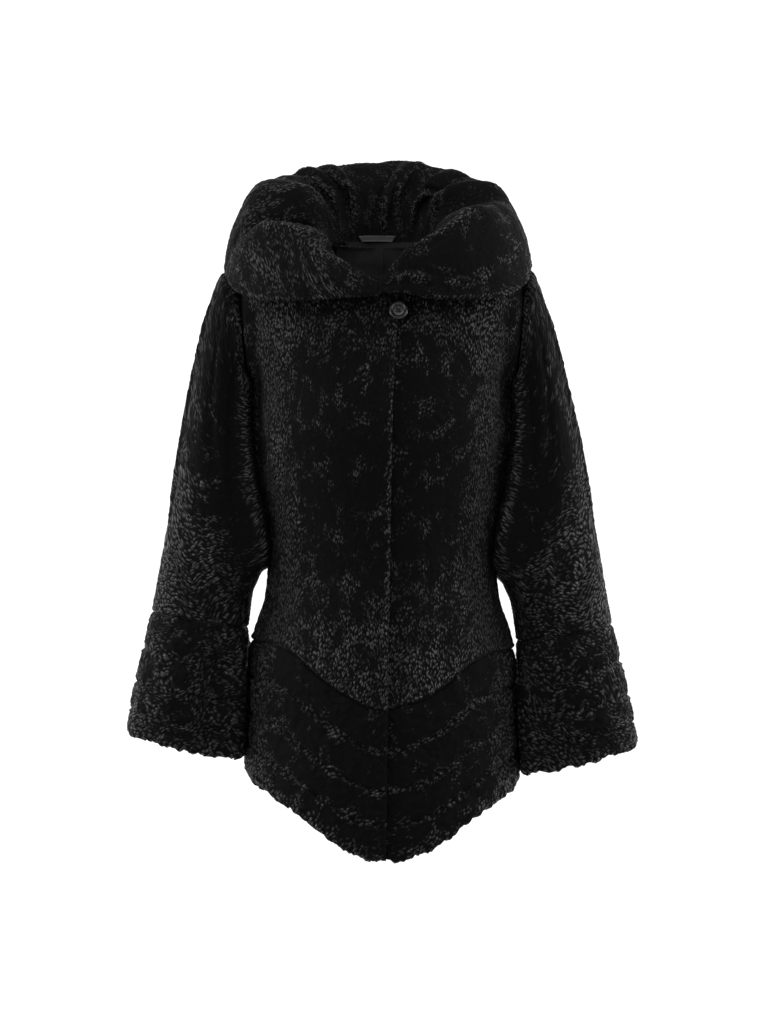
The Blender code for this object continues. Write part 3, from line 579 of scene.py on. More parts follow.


# The fur's base colour runs from painted shade in the partings between tufts to a painted sheen on their crests
CREST_SHEEN_COLOUR, PARTING_SHADE_COLOUR = (0.0185, 0.0185, 0.019), (0.0050, 0.0050, 0.0053)
PARTING_SHADE_AT, CREST_SHEEN_AT = 0.05, 0.7
DOME_TOP, DOME_FOOT, SHORTEST_TUFT = 0.05, 0.56, 0.18
PATCH_SIZE, PATCH_START, PATCH_FULL, LAY_SHIFT = (0.020, 0.030), 0.36, 0.68, 0.20
CURL_FOOT, CURL_TOP, LOWEST_TUFT = 0.1, 0.7, 0.45
FIBRE_SIZE, FIBRE_SHARE = (0.0010, 0.0026), 0.22
SWAY_SCALE, SHEEN_ROUGHNESS = 0.55, 0.45


def fur_material(name, tuft, offset, relief, warp, patch_low, sheen):
    """Sheared black lamb: small domed tufts, standing out more in some patches; the partings between them are
    darkened as painted shade and their crests lightened as a painted sheen.
    """
    material, tree, shader = new_material(name, {"Sheen Weight": sheen, "Sheen Roughness": SHEEN_ROUGHNESS})
    where = fur_place(tree, tuft, offset)
    sway = noise_node(tree, where, SWAY_SCALE, 1.0).outputs["Color"]
    swayed = tree.nodes.new("ShaderNodeVectorMath")
    swayed.operation = "MULTIPLY_ADD"
    set_inputs(tree, swayed, {0: sway, 1: (warp, warp, 0), 2: where})
    tufts = tree.nodes.new("ShaderNodeTexVoronoi")
    tufts.voronoi_dimensions = "2D"
    set_inputs(tree, tufts, {"Scale": 1, "Vector": swayed.outputs["Vector"]})
    dome = mapped(tree, tufts.outputs["Distance"], DOME_TOP, DOME_FOOT, 1.0, 0.0)
    standing = add_node(tree, "ShaderNodeSeparateColor", {"Color": tufts.outputs["Color"]})
    gain = mapped(tree, standing.outputs["Red"], 0.0, 1.0, SHORTEST_TUFT, 1.0)
    patch = noise_node(tree, fur_place(tree, PATCH_SIZE, offset + 3), 1, 3.0).outputs["Fac"]
    # Where lay is high the tufts stand taller and glossier, and their colour is lighter: a painted highlight
    lay = mapped(tree, point_value(tree, "lay"), 0.0, 1.0, -LAY_SHIFT, LAY_SHIFT)
    patch = mapped(tree, math_node(tree, "ADD", patch, lay), PATCH_START, PATCH_FULL, patch_low, 1.0)
    raised_curl = mapped(tree, point_value(tree, "curl"), CURL_FOOT, CURL_TOP, LOWEST_TUFT, 1.0)
    crest = dome
    for share in (gain, patch, raised_curl):
        crest = math_node(tree, "MULTIPLY", crest, share)
    fibres = noise_node(tree, fur_place(tree, FIBRE_SIZE, offset + 7), 1, 2.0, 0.2).outputs["Fac"]
    height = math_node(tree, "ADD", crest, math_node(tree, "MULTIPLY", fibres, FIBRE_SHARE))
    add_bump(tree, shader, height, relief)
    # Painted shade and sheen: the base colour is darker where the tufts are low and lighter where they stand
    # high
    add_ramp(tree, shader, crest, PARTING_SHADE_COLOUR, CREST_SHEEN_COLOUR, (PARTING_SHADE_AT, CREST_SHEEN_AT))
    roughness = mapped(tree, crest, 0.0, 0.6, 0.62, 0.34)
    gloss = mapped(tree, crest, 0.05, 0.50, 0.03, 1.0)
    set_inputs(tree, shader, {"Roughness": roughness, "Specular IOR Level": gloss})
    material.diffuse_color = (*CREST_SHEEN_COLOUR, 1)
    return material


def wave_node(tree, direction, inputs):
    """Bands of thread through the object's own space."""
    where = tree.nodes.new("ShaderNodeTexCoord").outputs["Object"]
    node = add_node(tree, "ShaderNodeTexWave", {**inputs, "Vector": where})
    node.bands_direction = direction
    return node.outputs["Fac"], where


def satin_material(name, colour, gloss):
    """Satin woven finely enough that its threads only show as a soft grain."""
    material, tree, shader = new_material(name, {"Specular IOR Level": gloss})
    threads, where = wave_node(tree, "Z", {"Scale": 900, "Distortion": 1.5, "Detail": 1.0})
    slubs = noise_node(tree, where, 60, 3).outputs["Fac"]
    add_bump(tree, shader, math_node(tree, "ADD", threads, slubs), 0.0004, 0.5)
    add_ramp(tree, shader, slubs, [c * 0.75 for c in colour], [c * 1.2 for c in colour])
    set_inputs(tree, shader, {"Roughness": mapped(tree, slubs, 0.3, 0.7, 0.3, 0.42)})
    material.diffuse_color = (*colour, 1)
    return material


body_fur = fur_material(
    "body_fur", tuft=(0.0028, 0.0056), offset=3.1, relief=0.0027, warp=0.9, patch_low=0.04, sheen=0.012
)
sleeve_fur = fur_material(
    "sleeve_fur", tuft=(0.0036, 0.0068), offset=11.7, relief=0.0032, warp=0.7, patch_low=0.05, sheen=0.012
)
band_fur = fur_material(
    "band_fur", tuft=(0.0037, 0.0060), offset=23.3, relief=0.0036, warp=0.9, patch_low=0.05, sheen=0.012
)
collar_fur = fur_material(
    "collar_fur", tuft=(0.0032, 0.0041), offset=37.9, relief=0.0028, warp=0.8, patch_low=0.06, sheen=0.015
)
lining = satin_material("lining", (0.015, 0.015, 0.016), gloss=0.2)


# --- Fronts, back and hem bands ---

NECK_ROWS, ARMHOLE_ROWS, ALL_ROWS = 5, 9, 18
FINE_UPPER, FINE_LOWER = 90, 190
BODY_FACTOR, BAND_FACTOR = 5, 4
FRONT_FINE, BACK_FINE, BAND_FINE = 120, 220, 84
BACK_COLUMNS, BACK_SHOULDER_COLUMNS = 24, 5
neck_x = curve_through(range(len(NECKLINE)), [point.x for point in NECKLINE])
neck_z = curve_through(range(len(NECKLINE)), [point.z for point in NECKLINE])
upper_rows = np.linspace(0, ARMHOLE_ROWS, FINE_UPPER + 1)
body_rows = np.concatenate([upper_rows[:-1], np.linspace(ARMHOLE_ROWS, ALL_ROWS, FINE_LOWER + 1)])


def armhole_side(side, rows, angle_of):
    """(angle, z) down the armhole and on down the side seam."""
    z_hole = ARMHOLE_MIDDLE + ARMHOLE_HALF * np.cos(pi * np.minimum(rows, ARMHOLE_ROWS) / ARMHOLE_ROWS)
    seam = float(pointed_z("seam_z", np.array(90.0 * side)))
    z_low = ARMPIT_Z + (seam - ARMPIT_Z) * (rows - ARMHOLE_ROWS) / (ALL_ROWS - ARMHOLE_ROWS)
    upper = rows <= ARMHOLE_ROWS
    return np.stack([np.where(upper, angle_of(z_hole), 90.0), np.where(upper, z_hole, z_low)], axis=-1)


def free_side(side, rows):
    """(signed angle, z) down a front's neckline and its free edge."""
    at = np.minimum(rows, NECK_ROWS)
    neck = np.stack([side * angle_at(neck_x(at), neck_z(at)), neck_z(at)], axis=-1)
    seam = float(POINTED["seam_z"](0))
    down_edge = (rows - NECK_ROWS - 1) / (ARMHOLE_ROWS - NECK_ROWS - 1)
    upper_z = NECK_CORNER_Z + (ARMPIT_Z - NECK_CORNER_Z) * down_edge
    lower_z = ARMPIT_Z + (seam - ARMPIT_Z) * (rows - ARMHOLE_ROWS) / (ALL_ROWS - ARMHOLE_ROWS)
    z = np.where(rows <= ARMHOLE_ROWS, np.minimum(upper_z, NECK_CORNER_Z), lower_z)
    edge = np.stack([front_edge_angle(side, z), z], axis=-1)
    turn_corner = np.clip(rows - NECK_ROWS, 0, 1)[:, None]
    return np.where(rows[:, None] <= NECK_ROWS, neck, neck * (1 - turn_corner) + edge * turn_corner)


def front_line(side, line, shares):
    start = float(front_edge_angle(side, POINTED[line](0)))
    angles = start + (side * 90 - start) * shares
    return np.stack([angles, pointed_z(line, angles)], axis=-1)


def spanned(left, right, top, bottom, shares):
    across = shares[None, :, None]
    down = (body_rows / ALL_ROWS)[:, None, None]
    level = left[:, None] * (1 - across) + right[:, None] * across
    return level + (1 - down) ** 2 * (top - level[0]) + down**2 * (bottom - level[-1])


def front_grid(side):
    shares = eased(np.linspace(0, 1, FRONT_FINE + 1))
    right = armhole_side(side, body_rows, armhole_angle) * (side, 1)
    shoulder_z = NECK_POINT_Z + (SHOULDER_TIP_Z - NECK_POINT_Z) * shares
    shoulder = np.stack([np.full_like(shares, side * 90.0), shoulder_z], -1)
    return spanned(free_side(side, body_rows), right, shoulder, front_line(side, "seam_z", shares), shares)


def back_grid():
    t = np.linspace(0, 1, BACK_FINE + 1)
    shares = eased(t)
    left = armhole_side(LEFT, body_rows, armhole_back_angle)
    right = armhole_side(RIGHT, body_rows, armhole_back_angle)
    right[:, 0] = 360 - right[:, 0]
    column = t * BACK_COLUMNS
    from_side = np.minimum(column, BACK_COLUMNS - column)
    z = SHOULDER_TIP_Z + (NECK_POINT_Z - SHOULDER_TIP_Z) * np.clip(from_side / BACK_SHOULDER_COLUMNS, 0, 1)
    neck_columns = BACK_COLUMNS - 2 * BACK_SHOULDER_COLUMNS
    angle = 90 + 180 * np.clip((column - BACK_SHOULDER_COLUMNS) / neck_columns, 0, 1)
    angles = 90 + 180 * shares
    bottom = np.stack([angles, pointed_z("seam_z", angles)], -1)
    return spanned(left, right, np.stack([angle, z], -1), bottom, shares)


def band_grid(seam, hem):
    share = np.linspace(0, 1, BAND_FINE + 1)[:, None, None]
    return seam[None] * (1 - share) + hem[None] * share


HEM_TURN_UP, HEM_TURN = 0.004, 0.014
BAND_LENGTH, GROOVE_LAY_WIDTH = 0.19, 0.006
STRIP_GROOVE, STRIP_HEIGHT, LIP_HEIGHT = -0.0048, 0.0070, 0.0026
LIP_PLACE, LIP_WIDTH = 0.0030, 0.0022


def strip_rise(share, worn):
    """Height of a band's strips over its length: full on the strips, low at the grooves between them."""
    rise = np.zeros_like(share)
    for start, end in zip(STRIP_ENDS, STRIP_ENDS[1:]):
        inside = (share >= start) & (share <= end)
        place = np.clip((share - start) / (end - start), 0, 1)
        rise = np.where(inside, (1 - np.abs(2 * place - 1) ** 4) ** 0.6, rise)
    lip = max_of(hump((share - end) * BAND_LENGTH, LIP_PLACE, LIP_WIDTH) for end in STRIP_ENDS[1:-1])
    return STRIP_GROOVE + STRIP_HEIGHT * rise * (0.82 + 0.18 * worn) + LIP_HEIGHT * lip


def strip_lay(rows, at_grooves, at_edge):
    """How much more of a band's fur stands at its grooves and along its lower edge; this also lightens the
    fur's colour there, a painted highlight.
    """
    share = np.linspace(0, 1, rows)[:, None]
    near_groove = max_of(hump((share - end) * BAND_LENGTH, 0, GROOVE_LAY_WIDTH) for end in STRIP_ENDS[1:-1])
    return at_grooves * near_groove + at_edge * step_up(share, 0.84, 0.12)


CREASE_COLUMNS = "x0 z0 x1 z1 bow width height"


def crease_height(x, z, creases):
    """Soft troughs and ridges along lines from (x0, z0) to (x1, z1), bowed sideways, fading at both ends."""
    total = np.zeros_like(x)
    for crease in creases:
        run = np.array([crease.x1 - crease.x0, crease.z1 - crease.z0])
        length = float(np.hypot(*run))
        run = run / length
        along = ((x - crease.x0) * run[0] + (z - crease.z0) * run[1]) / length
        aside = (x - crease.x0) * run[1] - (z - crease.z0) * run[0]
        aside = aside - crease.bow * (1 - (2 * along - 1) ** 2)
        fade = smooth_step(along / 0.3 + 0.5) * smooth_step((1 - along) / 0.3 + 0.5)
        width = crease.width * (0.75 + 0.5 * along)
        total += crease.height * fade * hump(aside, 0, width)
    return total


FRONT_CREASES = table(
    CREASE_COLUMNS,
    (-0.128, -0.300, -0.150, -0.420, 0.006, 0.012, -0.0030),
    (0.132, -0.310, 0.146, -0.430, -0.006, 0.013, -0.0030),
    (-0.167, -0.095, -0.158, -0.330, 0.004, 0.010, -0.0065),
    (0.165, -0.100, 0.156, -0.340, -0.003, 0.010, -0.0065),
    (-0.110, -0.420, -0.040, -0.452, 0.006, 0.016, -0.0024),
    (0.120, -0.430, 0.050, -0.470, -0.005, 0.017, -0.0024),
    (-0.135, -0.470, -0.080, -0.520, -0.005, 0.014, 0.0020),
    (0.140, -0.480, 0.085, -0.535, 0.005, 0.014, 0.0020),
    (0.020, -0.150, 0.004, -0.250, 0.003, 0.010, 0.0016),
    (-0.010, -0.084, 0.006, -0.095, -0.002, 0.0028, 0.0026),
)
BACK_CREASES = table(
    CREASE_COLUMNS,
    (-0.130, -0.300, -0.148, -0.420, 0.006, 0.012, -0.0030),
    (0.130, -0.300, 0.150, -0.420, -0.006, 0.013, -0.0030),
    (-0.120, -0.425, -0.030, -0.445, 0.006, 0.014, -0.0026),
    (0.125, -0.440, 0.035, -0.462, -0.006, 0.015, -0.0026),
    (-0.160, -0.150, -0.150, -0.280, 0.004, 0.010, -0.0024),
    (0.158, -0.160, 0.150, -0.290, -0.004, 0.011, -0.0024),
    (-0.030, -0.110, -0.050, -0.280, 0.006, 0.016, 0.0020),
    (0.034, -0.120, 0.056, -0.300, -0.006, 0.016, 0.0020),
)


Curls = namedtuple("Curls", "wave stretch depth")
BODY_CURLS, SLEEVE_CURLS = Curls(0.0066, 1.9, 0.0016), Curls(0.0078, 1.8, 0.0020)
BAND_CURLS, COLLAR_CURLS = Curls(0.0086, 1.5, 0.0028), Curls(0.0062, 1.5, 0.0017)
# How far the hair of a lower edge is ragged, in long waves and in short ones
HEM_RAGGED, CUFF_RAGGED = (0.0036, 0.0030), (0.0034, 0.0028)
LONG_WAVE, SHORT_WAVE = 0.012, 0.0050
SHOULDER_ROLL, BAND_SEAM_ROLL, HEM_ROLL, ARMHOLE_ROLL = 0.002, 0.0018, 0.0045, 0.003
FREE_EDGE_ROLL, SIDE_SEAM_ROLL, UNDERARM_ROLL, UNDERARM_GAP = 0.0035, 0.0015, 0.002, 0.0004


def furred_shell(
    name, base, normals, place, down, flow, look, lift, drop, seed, ragged=(), depth=0, tube=False
):
    """A shell on a smooth form. place is each point's distance (across, down) in the piece, down its distance
    from the top row, flow the fur's coordinates and look = (lay, curls, factor, materials). ragged is given for
    a band of strips, and depth for a piece that is sunk under the lap."""
    lay, curls, factor, materials = look
    u, v = place
    curl = fur_curls(*flow, curls.wave, curls.stretch, seed + 20)
    inner_lift = lift
    if ragged:
        inner_lift = 0 * lift
        share = np.linspace(0, 1, base.shape[0])[:, None] + 0.006 * noise(u / 0.03, v / 0.2, seed + 5)
        lift = (lift + strip_rise(share, noise(u / 0.02, v / 0.02, seed + 6))) * (1 - depth / LAP_STEP)
    outer = base + normals * ((curl - CURL_MEAN) * curls.depth + lift - drop)[..., None]
    if ragged:
        long_waves = noise(u / LONG_WAVE, 0 * u + 0.5, seed + 7)
        short_waves = noise(u / SHORT_WAVE, 0 * u + 0.3, seed + 8)
        near_edge = step_down(down[-1:] - down, HEM_TURN, HEM_TURN)
        outer[..., 2] += (ragged[0] * long_waves + ragged[1] * short_waves) * near_edge
        base[..., 2] += HEM_TURN_UP * near_edge
    inner = (base + normals * (inner_lift - WALL)[..., None])[::factor, ::factor]
    flow = np.stack([flow[0] + 0.37 * seed, flow[1] + 0.19 * seed], axis=-1)
    return add_shell(name, outer, inner, factor, flow, curl, np.clip(lay, 0, 1), materials, tube)


def torso_shell(name, grid, factor, materials, curls, edges, seed, sunk=False, ragged=(), creases=()):
    """One piece on the torso. edges are the radii of its top, bottom, first and last edge."""
    base = torso_point(grid[..., 0], grid[..., 1])
    normals = torso_normal(base)
    depth = lap_depth(base) if sunk else np.zeros(base.shape[:2])
    base = base - normals * depth[..., None]
    across, down = lengths(base, 1), lengths(base, 0)
    to_bottom = down[-1:] - down
    x, y, z = np.moveaxis(base, -1, 0)
    reach = np.where(y < 0, TORSO["front"](z), TORSO["back"](z))
    u, v = x + np.sign(x) * 0.9 * (reach - np.abs(y)), -z
    lean = 0.010 * noise(u / 0.11, v / 0.13, seed) + 0.004 * noise(u / 0.035, v / 0.045, seed + 9)
    to_side = np.abs(x) / TORSO["half_width"](z)
    lift = crease_height(x, z, creases)
    # lay makes the tufts taller and glossier in these bands and also lightens the fur's colour there, a painted
    # highlight
    if ragged:
        flow = v * 0.8 + u * 0.55 + lean * 1.4, u * 0.8 - v * 0.55
        lay = 0.08 + 0.75 * step_up(to_side, 0.70, 0.22) + strip_lay(len(base), 0.62, 0.5)
    else:
        flow = u + lean * 1.6 + 0.10 * v, v + 0.5 * lean
        beside_armhole = hump(to_side, 0.80, 0.13) * step_up(z, -0.56, 0.12)
        shoulders = step_up(z, -0.175, 0.05) * step_down(to_side, 0.80, 0.1)
        side_seam = step_up(to_side, 0.94, 0.04) * step_down(z, -0.14, 0.08)
        lay = 0.20 + 0.70 * beside_armhole + 0.50 * step_down(z, -0.41, 0.16) + 0.4 * shoulders
        lay = lay + 0.5 * hump(to_bottom, 0, 0.006) + 0.8 * side_seam
        if edges[2] == FREE_EDGE_ROLL:
            lay = lay + 0.9 * hump(across, 0, 0.005)
        lift = lift + 0.0015 * hump(to_bottom, 0.004, 0.003)
    distances = (down, to_bottom, across, across[:, -1:] - across)
    drop = max_of(roll_off(distance, radius) for radius, distance in zip(edges, distances))
    look = lay, curls, factor, materials
    return furred_shell(name, base, normals, (u, v), down, flow, look, lift, drop, seed, ragged, depth)


body_materials, band_materials = (body_fur, lining), (band_fur, lining)
BODY_SEAM_EDGES = (SHOULDER_ROLL, BAND_SEAM_ROLL, SIDE_SEAM_ROLL, SIDE_SEAM_ROLL)
BODY_FREE_EDGES = (SHOULDER_ROLL, BAND_SEAM_ROLL, FREE_EDGE_ROLL, SIDE_SEAM_ROLL)
BAND_SEAM_EDGES = (BAND_SEAM_ROLL, HEM_ROLL, SIDE_SEAM_ROLL, SIDE_SEAM_ROLL)
BAND_FREE_EDGES = (BAND_SEAM_ROLL, HEM_ROLL, FREE_EDGE_ROLL, SIDE_SEAM_ROLL)


for name, side in (("right", RIGHT), ("left", LEFT)):
    piece = torso_shell(
        f"front_{name}_fur", front_grid(side), BODY_FACTOR, body_materials, BODY_CURLS, BODY_FREE_EDGES,
        100 + side, sunk=side == LEFT, creases=FRONT_CREASES,
    )
    register(piece, f"front_{name}")
piece = torso_shell(
    "body_back_fur", back_grid(), BODY_FACTOR, body_materials, BODY_CURLS, BODY_SEAM_EDGES, 200,
    creases=BACK_CREASES,
)
register(
    piece, "body_back"
)

for name, side in (("right", RIGHT), ("left", LEFT)):
    shares = eased(np.linspace(0, 1, FRONT_FINE + 1))
    grid = band_grid(front_line(side, "seam_z", shares), front_line(side, "hem_z", shares))
    piece = torso_shell(
        f"hem_band_{name}_fur", grid, BAND_FACTOR, band_materials, BAND_CURLS, BAND_FREE_EDGES, 300 + side,
        sunk=side == LEFT, ragged=HEM_RAGGED,
    )
    register(piece, f"hem_band_{name}")
angles = 90 + 180 * eased(np.linspace(0, 1, BACK_FINE + 1))
grid = band_grid(
    np.stack([angles, pointed_z("seam_z", angles)], -1), np.stack([angles, pointed_z("hem_z", angles)], -1)
)
piece = torso_shell(
    "hem_band_back_fur", grid, BAND_FACTOR, band_materials, BAND_CURLS, BAND_SEAM_EDGES, 310,
    ragged=HEM_RAGGED,
)
register(piece, "hem_band_back")


# --- Sleeves and cuffs ---

SLEEVE_ROWS, SLEEVE_AROUND, SLEEVE_FACTOR = 210, 205, 5
CUFF_ROWS, CUFF_AROUND, CUFF_FACTOR = 84, 216, 4


def signed_power(value, power):
    return np.sign(value) * np.abs(value) ** power


def torso_side(y, z):
    """How far to the side the torso reaches level with a point."""
    power = TORSO["squareness"](z)
    depth = np.where(y < 0, TORSO["front"](z), TORSO["back"](z))
    return torso_width(z) * np.maximum(0.0, 1 - (np.abs(y) / depth) ** power) ** (1 / power)


def armhole_loop(around):
    z = ARMHOLE_MIDDLE + ARMHOLE_HALF * np.cos(around)
    return torso_point(np.where(np.sin(around) >= 0, armhole_angle(z), armhole_back_angle(z)), z)


def ring_points(side, along, around):
    """Points of the sleeve, before the armhole's shape is blended in."""
    row = {name: curve(along) for name, curve in SLEEVE.items()}
    drop = LEFT_SLEEVE_DROP * step_up(along, ARMHOLE_FADE, CUFF_START - ARMHOLE_FADE) * (side == LEFT)
    outer_x, outer_z = row["outer_x"] - side * row["sway"], row["outer_z"] - drop
    inner_x, inner_z = row["inner_x"], row["inner_z"] - drop
    power = 2 / SLEEVE_SQUARENESS
    out = signed_power(np.cos(around), power) / 2
    depth = np.where(np.sin(around) >= 0, row["front"], row["back"])
    x = (outer_x + inner_x) / 2 + (outer_x - inner_x) * out
    z = (outer_z + inner_z) / 2 + (outer_z - inner_z) * out
    return np.stack([x, -depth * signed_power(np.sin(around), power), z], axis=-1)


def sleeve_points(side, along, around):
    """Points of a sleeve: along is in rings from the armhole, around an angle from the outer side, by the
    front."""
    along, around = np.broadcast_arrays(along, around)
    fade = (1 - smooth_step(along / ARMHOLE_FADE))[..., None]
    point = ring_points(side, along, around)
    point = point + (armhole_loop(around) - ring_points(side, np.zeros_like(along), around)) * fade
    hold = smooth_step((-np.cos(around) - HUG_START) / HUG_BLEND) * SLEEVE["hug"](along)
    x, y, z = np.moveaxis(point, -1, 0)
    x = x + (torso_side(y, z) + SLEEVE["clear"](along) - x) * hold
    return np.stack([side * x, y, z], axis=-1)


# Creases on the sleeves, in metres down from the shoulder and round from the outer side, by the front
SLEEVE_CREASES = table(
    CREASE_COLUMNS,
    (0.035, -0.060, 0.030, -0.350, 0.004, 0.0048, 0.0048),
    (0.085, -0.050, 0.105, -0.200, 0.006, 0.010, -0.0030),
    (0.050, -0.330, 0.150, -0.352, -0.008, 0.014, -0.0024),
    (0.070, -0.385, 0.170, -0.372, 0.008, 0.014, -0.0026),
    (-0.035, -0.090, -0.030, -0.330, -0.004, 0.007, 0.0020),
    (-0.085, -0.060, -0.105, -0.210, -0.006, 0.011, -0.0028),
    (-0.060, -0.320, -0.150, -0.345, 0.008, 0.015, -0.0026),
    (-0.070, -0.385, -0.170, -0.372, -0.008, 0.014, -0.0024),
)


def sleeve_shell(name, side, alongs, columns, factor, materials, curls, edges, seed, ragged=(), creases=()):
    """A sleeve or a cuff between two rings. edges are the radii of its top and bottom edge."""
    around = pi + 2 * pi * np.arange(columns) / columns
    base = sleeve_points(side, alongs[:, None], around[None, :])
    normals = grid_normals(base, True, side)
    a, s = lengths(base, 1), lengths(base, 0)
    outermost = int(round(columns / 2))
    a = a - a[:, outermost : outermost + 1]
    bend = 0.012 * noise(a / 0.06, s / 0.07, seed) + 0.005 * noise(a / 0.02, s / 0.03, seed + 1)
    lift = crease_height(a, -s, creases)
    # lay makes the tufts taller and glossier in these bands and also lightens the fur's colour there, a painted
    # highlight
    if ragged:
        flow = s * 0.85 + a * 0.5 + bend * 1.3, a * 0.85 - s * 0.5
        lay = 0.62 - 0.35 * hump(np.abs(a), 0.10, 0.03) + strip_lay(len(base), 0.35, 0.3)
    else:
        s_mean = s.mean(axis=1, keepdims=True)
        from_front = np.sqrt(a**2 + 0.022**2) - 0.125
        steep = 3.6 + 5.4 * (1 - step_up(s_mean, 0.06, 0.26))
        near_torso = np.maximum(np.abs(a) - 0.15, 0)
        flow = s_mean + steep * from_front**2 + 10 * near_torso**2 + bend, a + 0.2 * bend
        past_torso = np.abs(base[..., 0]) - TORSO["half_width"](base[..., 2])
        inner_edge = hump(past_torso, 0.004, 0.007) * step_down(s, 0.34, 0.1)
        inner_edge = inner_edge * step_up(np.abs(base[..., 1]), 0.02, 0.02)
        lay = 0.12 + 0.9 * hump(a, 0, 0.056) + 0.62 * step_up(s, 0.23, 0.09) + inner_edge
        lift = lift + 0.0095 * inner_edge * smooth_step(s / 0.025)
    to_underarm = np.minimum(a - a[:, :1], a[:, -1:] - a) + UNDERARM_GAP
    radii = (*edges, UNDERARM_ROLL)
    drop = max_of(roll_off(distance, radius) for radius, distance in zip(radii, (s, s[-1:] - s, to_underarm)))
    look = lay, curls, factor, materials
    return furred_shell(name, base, normals, (a, s), s, flow, look, lift, drop, seed, ragged, tube=True)


for name, side in (("right", RIGHT), ("left", LEFT)):
    alongs = np.linspace(0, CUFF_START, SLEEVE_ROWS + 1)
    piece = sleeve_shell(
        f"sleeve_{name}_fur", side, alongs, SLEEVE_AROUND, SLEEVE_FACTOR, (sleeve_fur, lining), SLEEVE_CURLS,
        (ARMHOLE_ROLL, BAND_SEAM_ROLL), 400 + side, creases=SLEEVE_CREASES,
    )
    register(
        piece, f"sleeve_{name}"
    )
    alongs = np.linspace(CUFF_START, CUFF_END, CUFF_ROWS + 1)
    piece = sleeve_shell(
        f"cuff_{name}_fur", side, alongs, CUFF_AROUND, CUFF_FACTOR, band_materials, BAND_CURLS,
        (BAND_SEAM_ROLL, HEM_ROLL), 420 + side, ragged=CUFF_RAGGED,
    )
    register(piece, f"cuff_{name}")


# --- The collar ---

COLLAR_COLUMNS, COLLAR_ROWS, COLLAR_FACTOR = 460, 132, 4


def neck_seam():
    """Curves of the neck seam's reach from the neck's axis and its height, over the turn from the back."""
    points = [torso_point(angle, NECK_POINT_Z) for angle in range(180, 90, -15)]
    points += [torso_point(angle_at(point.x, point.z), point.z) for point in NECKLINE]
    turns = [degrees(atan2(point[0], point[1])) for point in points]
    turns[0], turns[-1] = 0, 180
    reach = curve_through(turns, [float(np.hypot(point[0], point[1])) for point in points])
    return reach, curve_through(turns, [float(point[2]) for point in points])


SEAM_REACH, SEAM_HEIGHT = neck_seam()


def edge_reach(turns):
    x, y = np.sin(np.radians(turns)), np.cos(np.radians(turns))
    side = np.where(x > 0, COLLAR_LEFT_REACH, COLLAR_RIGHT_REACH)
    depth = np.where(y > 0, COLLAR_BACK_REACH, COLLAR_FRONT_REACH)
    power = COLLAR_SQUARENESS
    return ((np.abs(x) / side) ** power + (np.abs(y) / depth) ** power) ** (-1 / power)


def collar_base(turns, shares):
    """The collar's face without its folds, as a grid: a row for each share, a column for each turn."""
    bent = np.where(np.abs(turns) > 180, 360 - np.abs(turns), np.abs(turns))
    seam_reach, seam_z = SEAM_REACH(bent) + SEAM_GAP, SEAM_HEIGHT(bent) + SEAM_GAP
    crest_reach, crest_z, edge_z = (COLLAR[name](turns) for name in ("crest_reach", "crest_z", "edge_z"))
    edge = edge_reach(turns)
    reach = (
        seam_reach,
        seam_reach + RISING_REACH * (crest_reach - seam_reach),
        crest_reach,
        crest_reach + FALLING_REACH * (edge - crest_reach),
        edge,
    )
    height = (
        seam_z,
        seam_z + RISING_HEIGHT * (crest_z - seam_z),
        crest_z,
        edge_z + FALLING_HEIGHT * (crest_z - edge_z),
        edge_z,
    )
    reach = column_curves(COLLAR_SHARES, reach, shares)
    height = column_curves(COLLAR_SHARES, height, shares)
    around = np.radians(turns)[None, :]
    return np.stack([reach * np.sin(around), reach * np.cos(around), height], axis=-1)


def fold_rise(turns, shares):
    turns, shares = turns[None, :], shares[:, None]
    rise = step_up(shares, FOLD_FADE_LOW, FOLD_PEAK - FOLD_FADE_LOW)
    rise = rise * (1 - step_up(shares, FOLD_PEAK, FOLD_FADE_HIGH - FOLD_PEAK))
    climb = smooth_step(shares / COLLAR_SHARES[2])
    total = 0
    for fold in COLLAR_FOLDS:
        middle = fold.turn_low + (fold.turn_high - fold.turn_low) * climb
        away = np.abs(turns - middle) / fold.half_width
        total = total + fold.height * rise * (0.5 + 0.5 * np.cos(pi * np.minimum(away, 1)))
    return total


def clear_of_torso(points):
    """Raises the points that would be inside the torso or too near its outer face."""
    points = points.copy()
    for _ in range(250):
        low = (points[..., 2] < NECK_POINT_Z) & (torso_level(*np.moveaxis(points, -1, 0)) < COLLAR_LIFT)
        if not low.any():
            break
        points[..., 2] += SEAM_GAP * low
    return points


def collar_face(turns, shares):
    base = collar_base(turns, shares)
    return base + grid_normals(base, False) * fold_rise(turns, shares)[..., None]


EDGE_THINNING = 0.003
turns = np.linspace(COLLAR_RIGHT_END, COLLAR_LEFT_END, COLLAR_COLUMNS + 1)
shares = np.linspace(0, 1, COLLAR_ROWS + 1)
face = collar_face(turns, shares)
normals = grid_normals(face, False)
wall = COLLAR_WALL - EDGE_THINNING * step_up(shares, 0.8, 0.2)[:, None, None]
behind = clear_of_torso(face - normals * wall)
face = clear_of_torso(face)
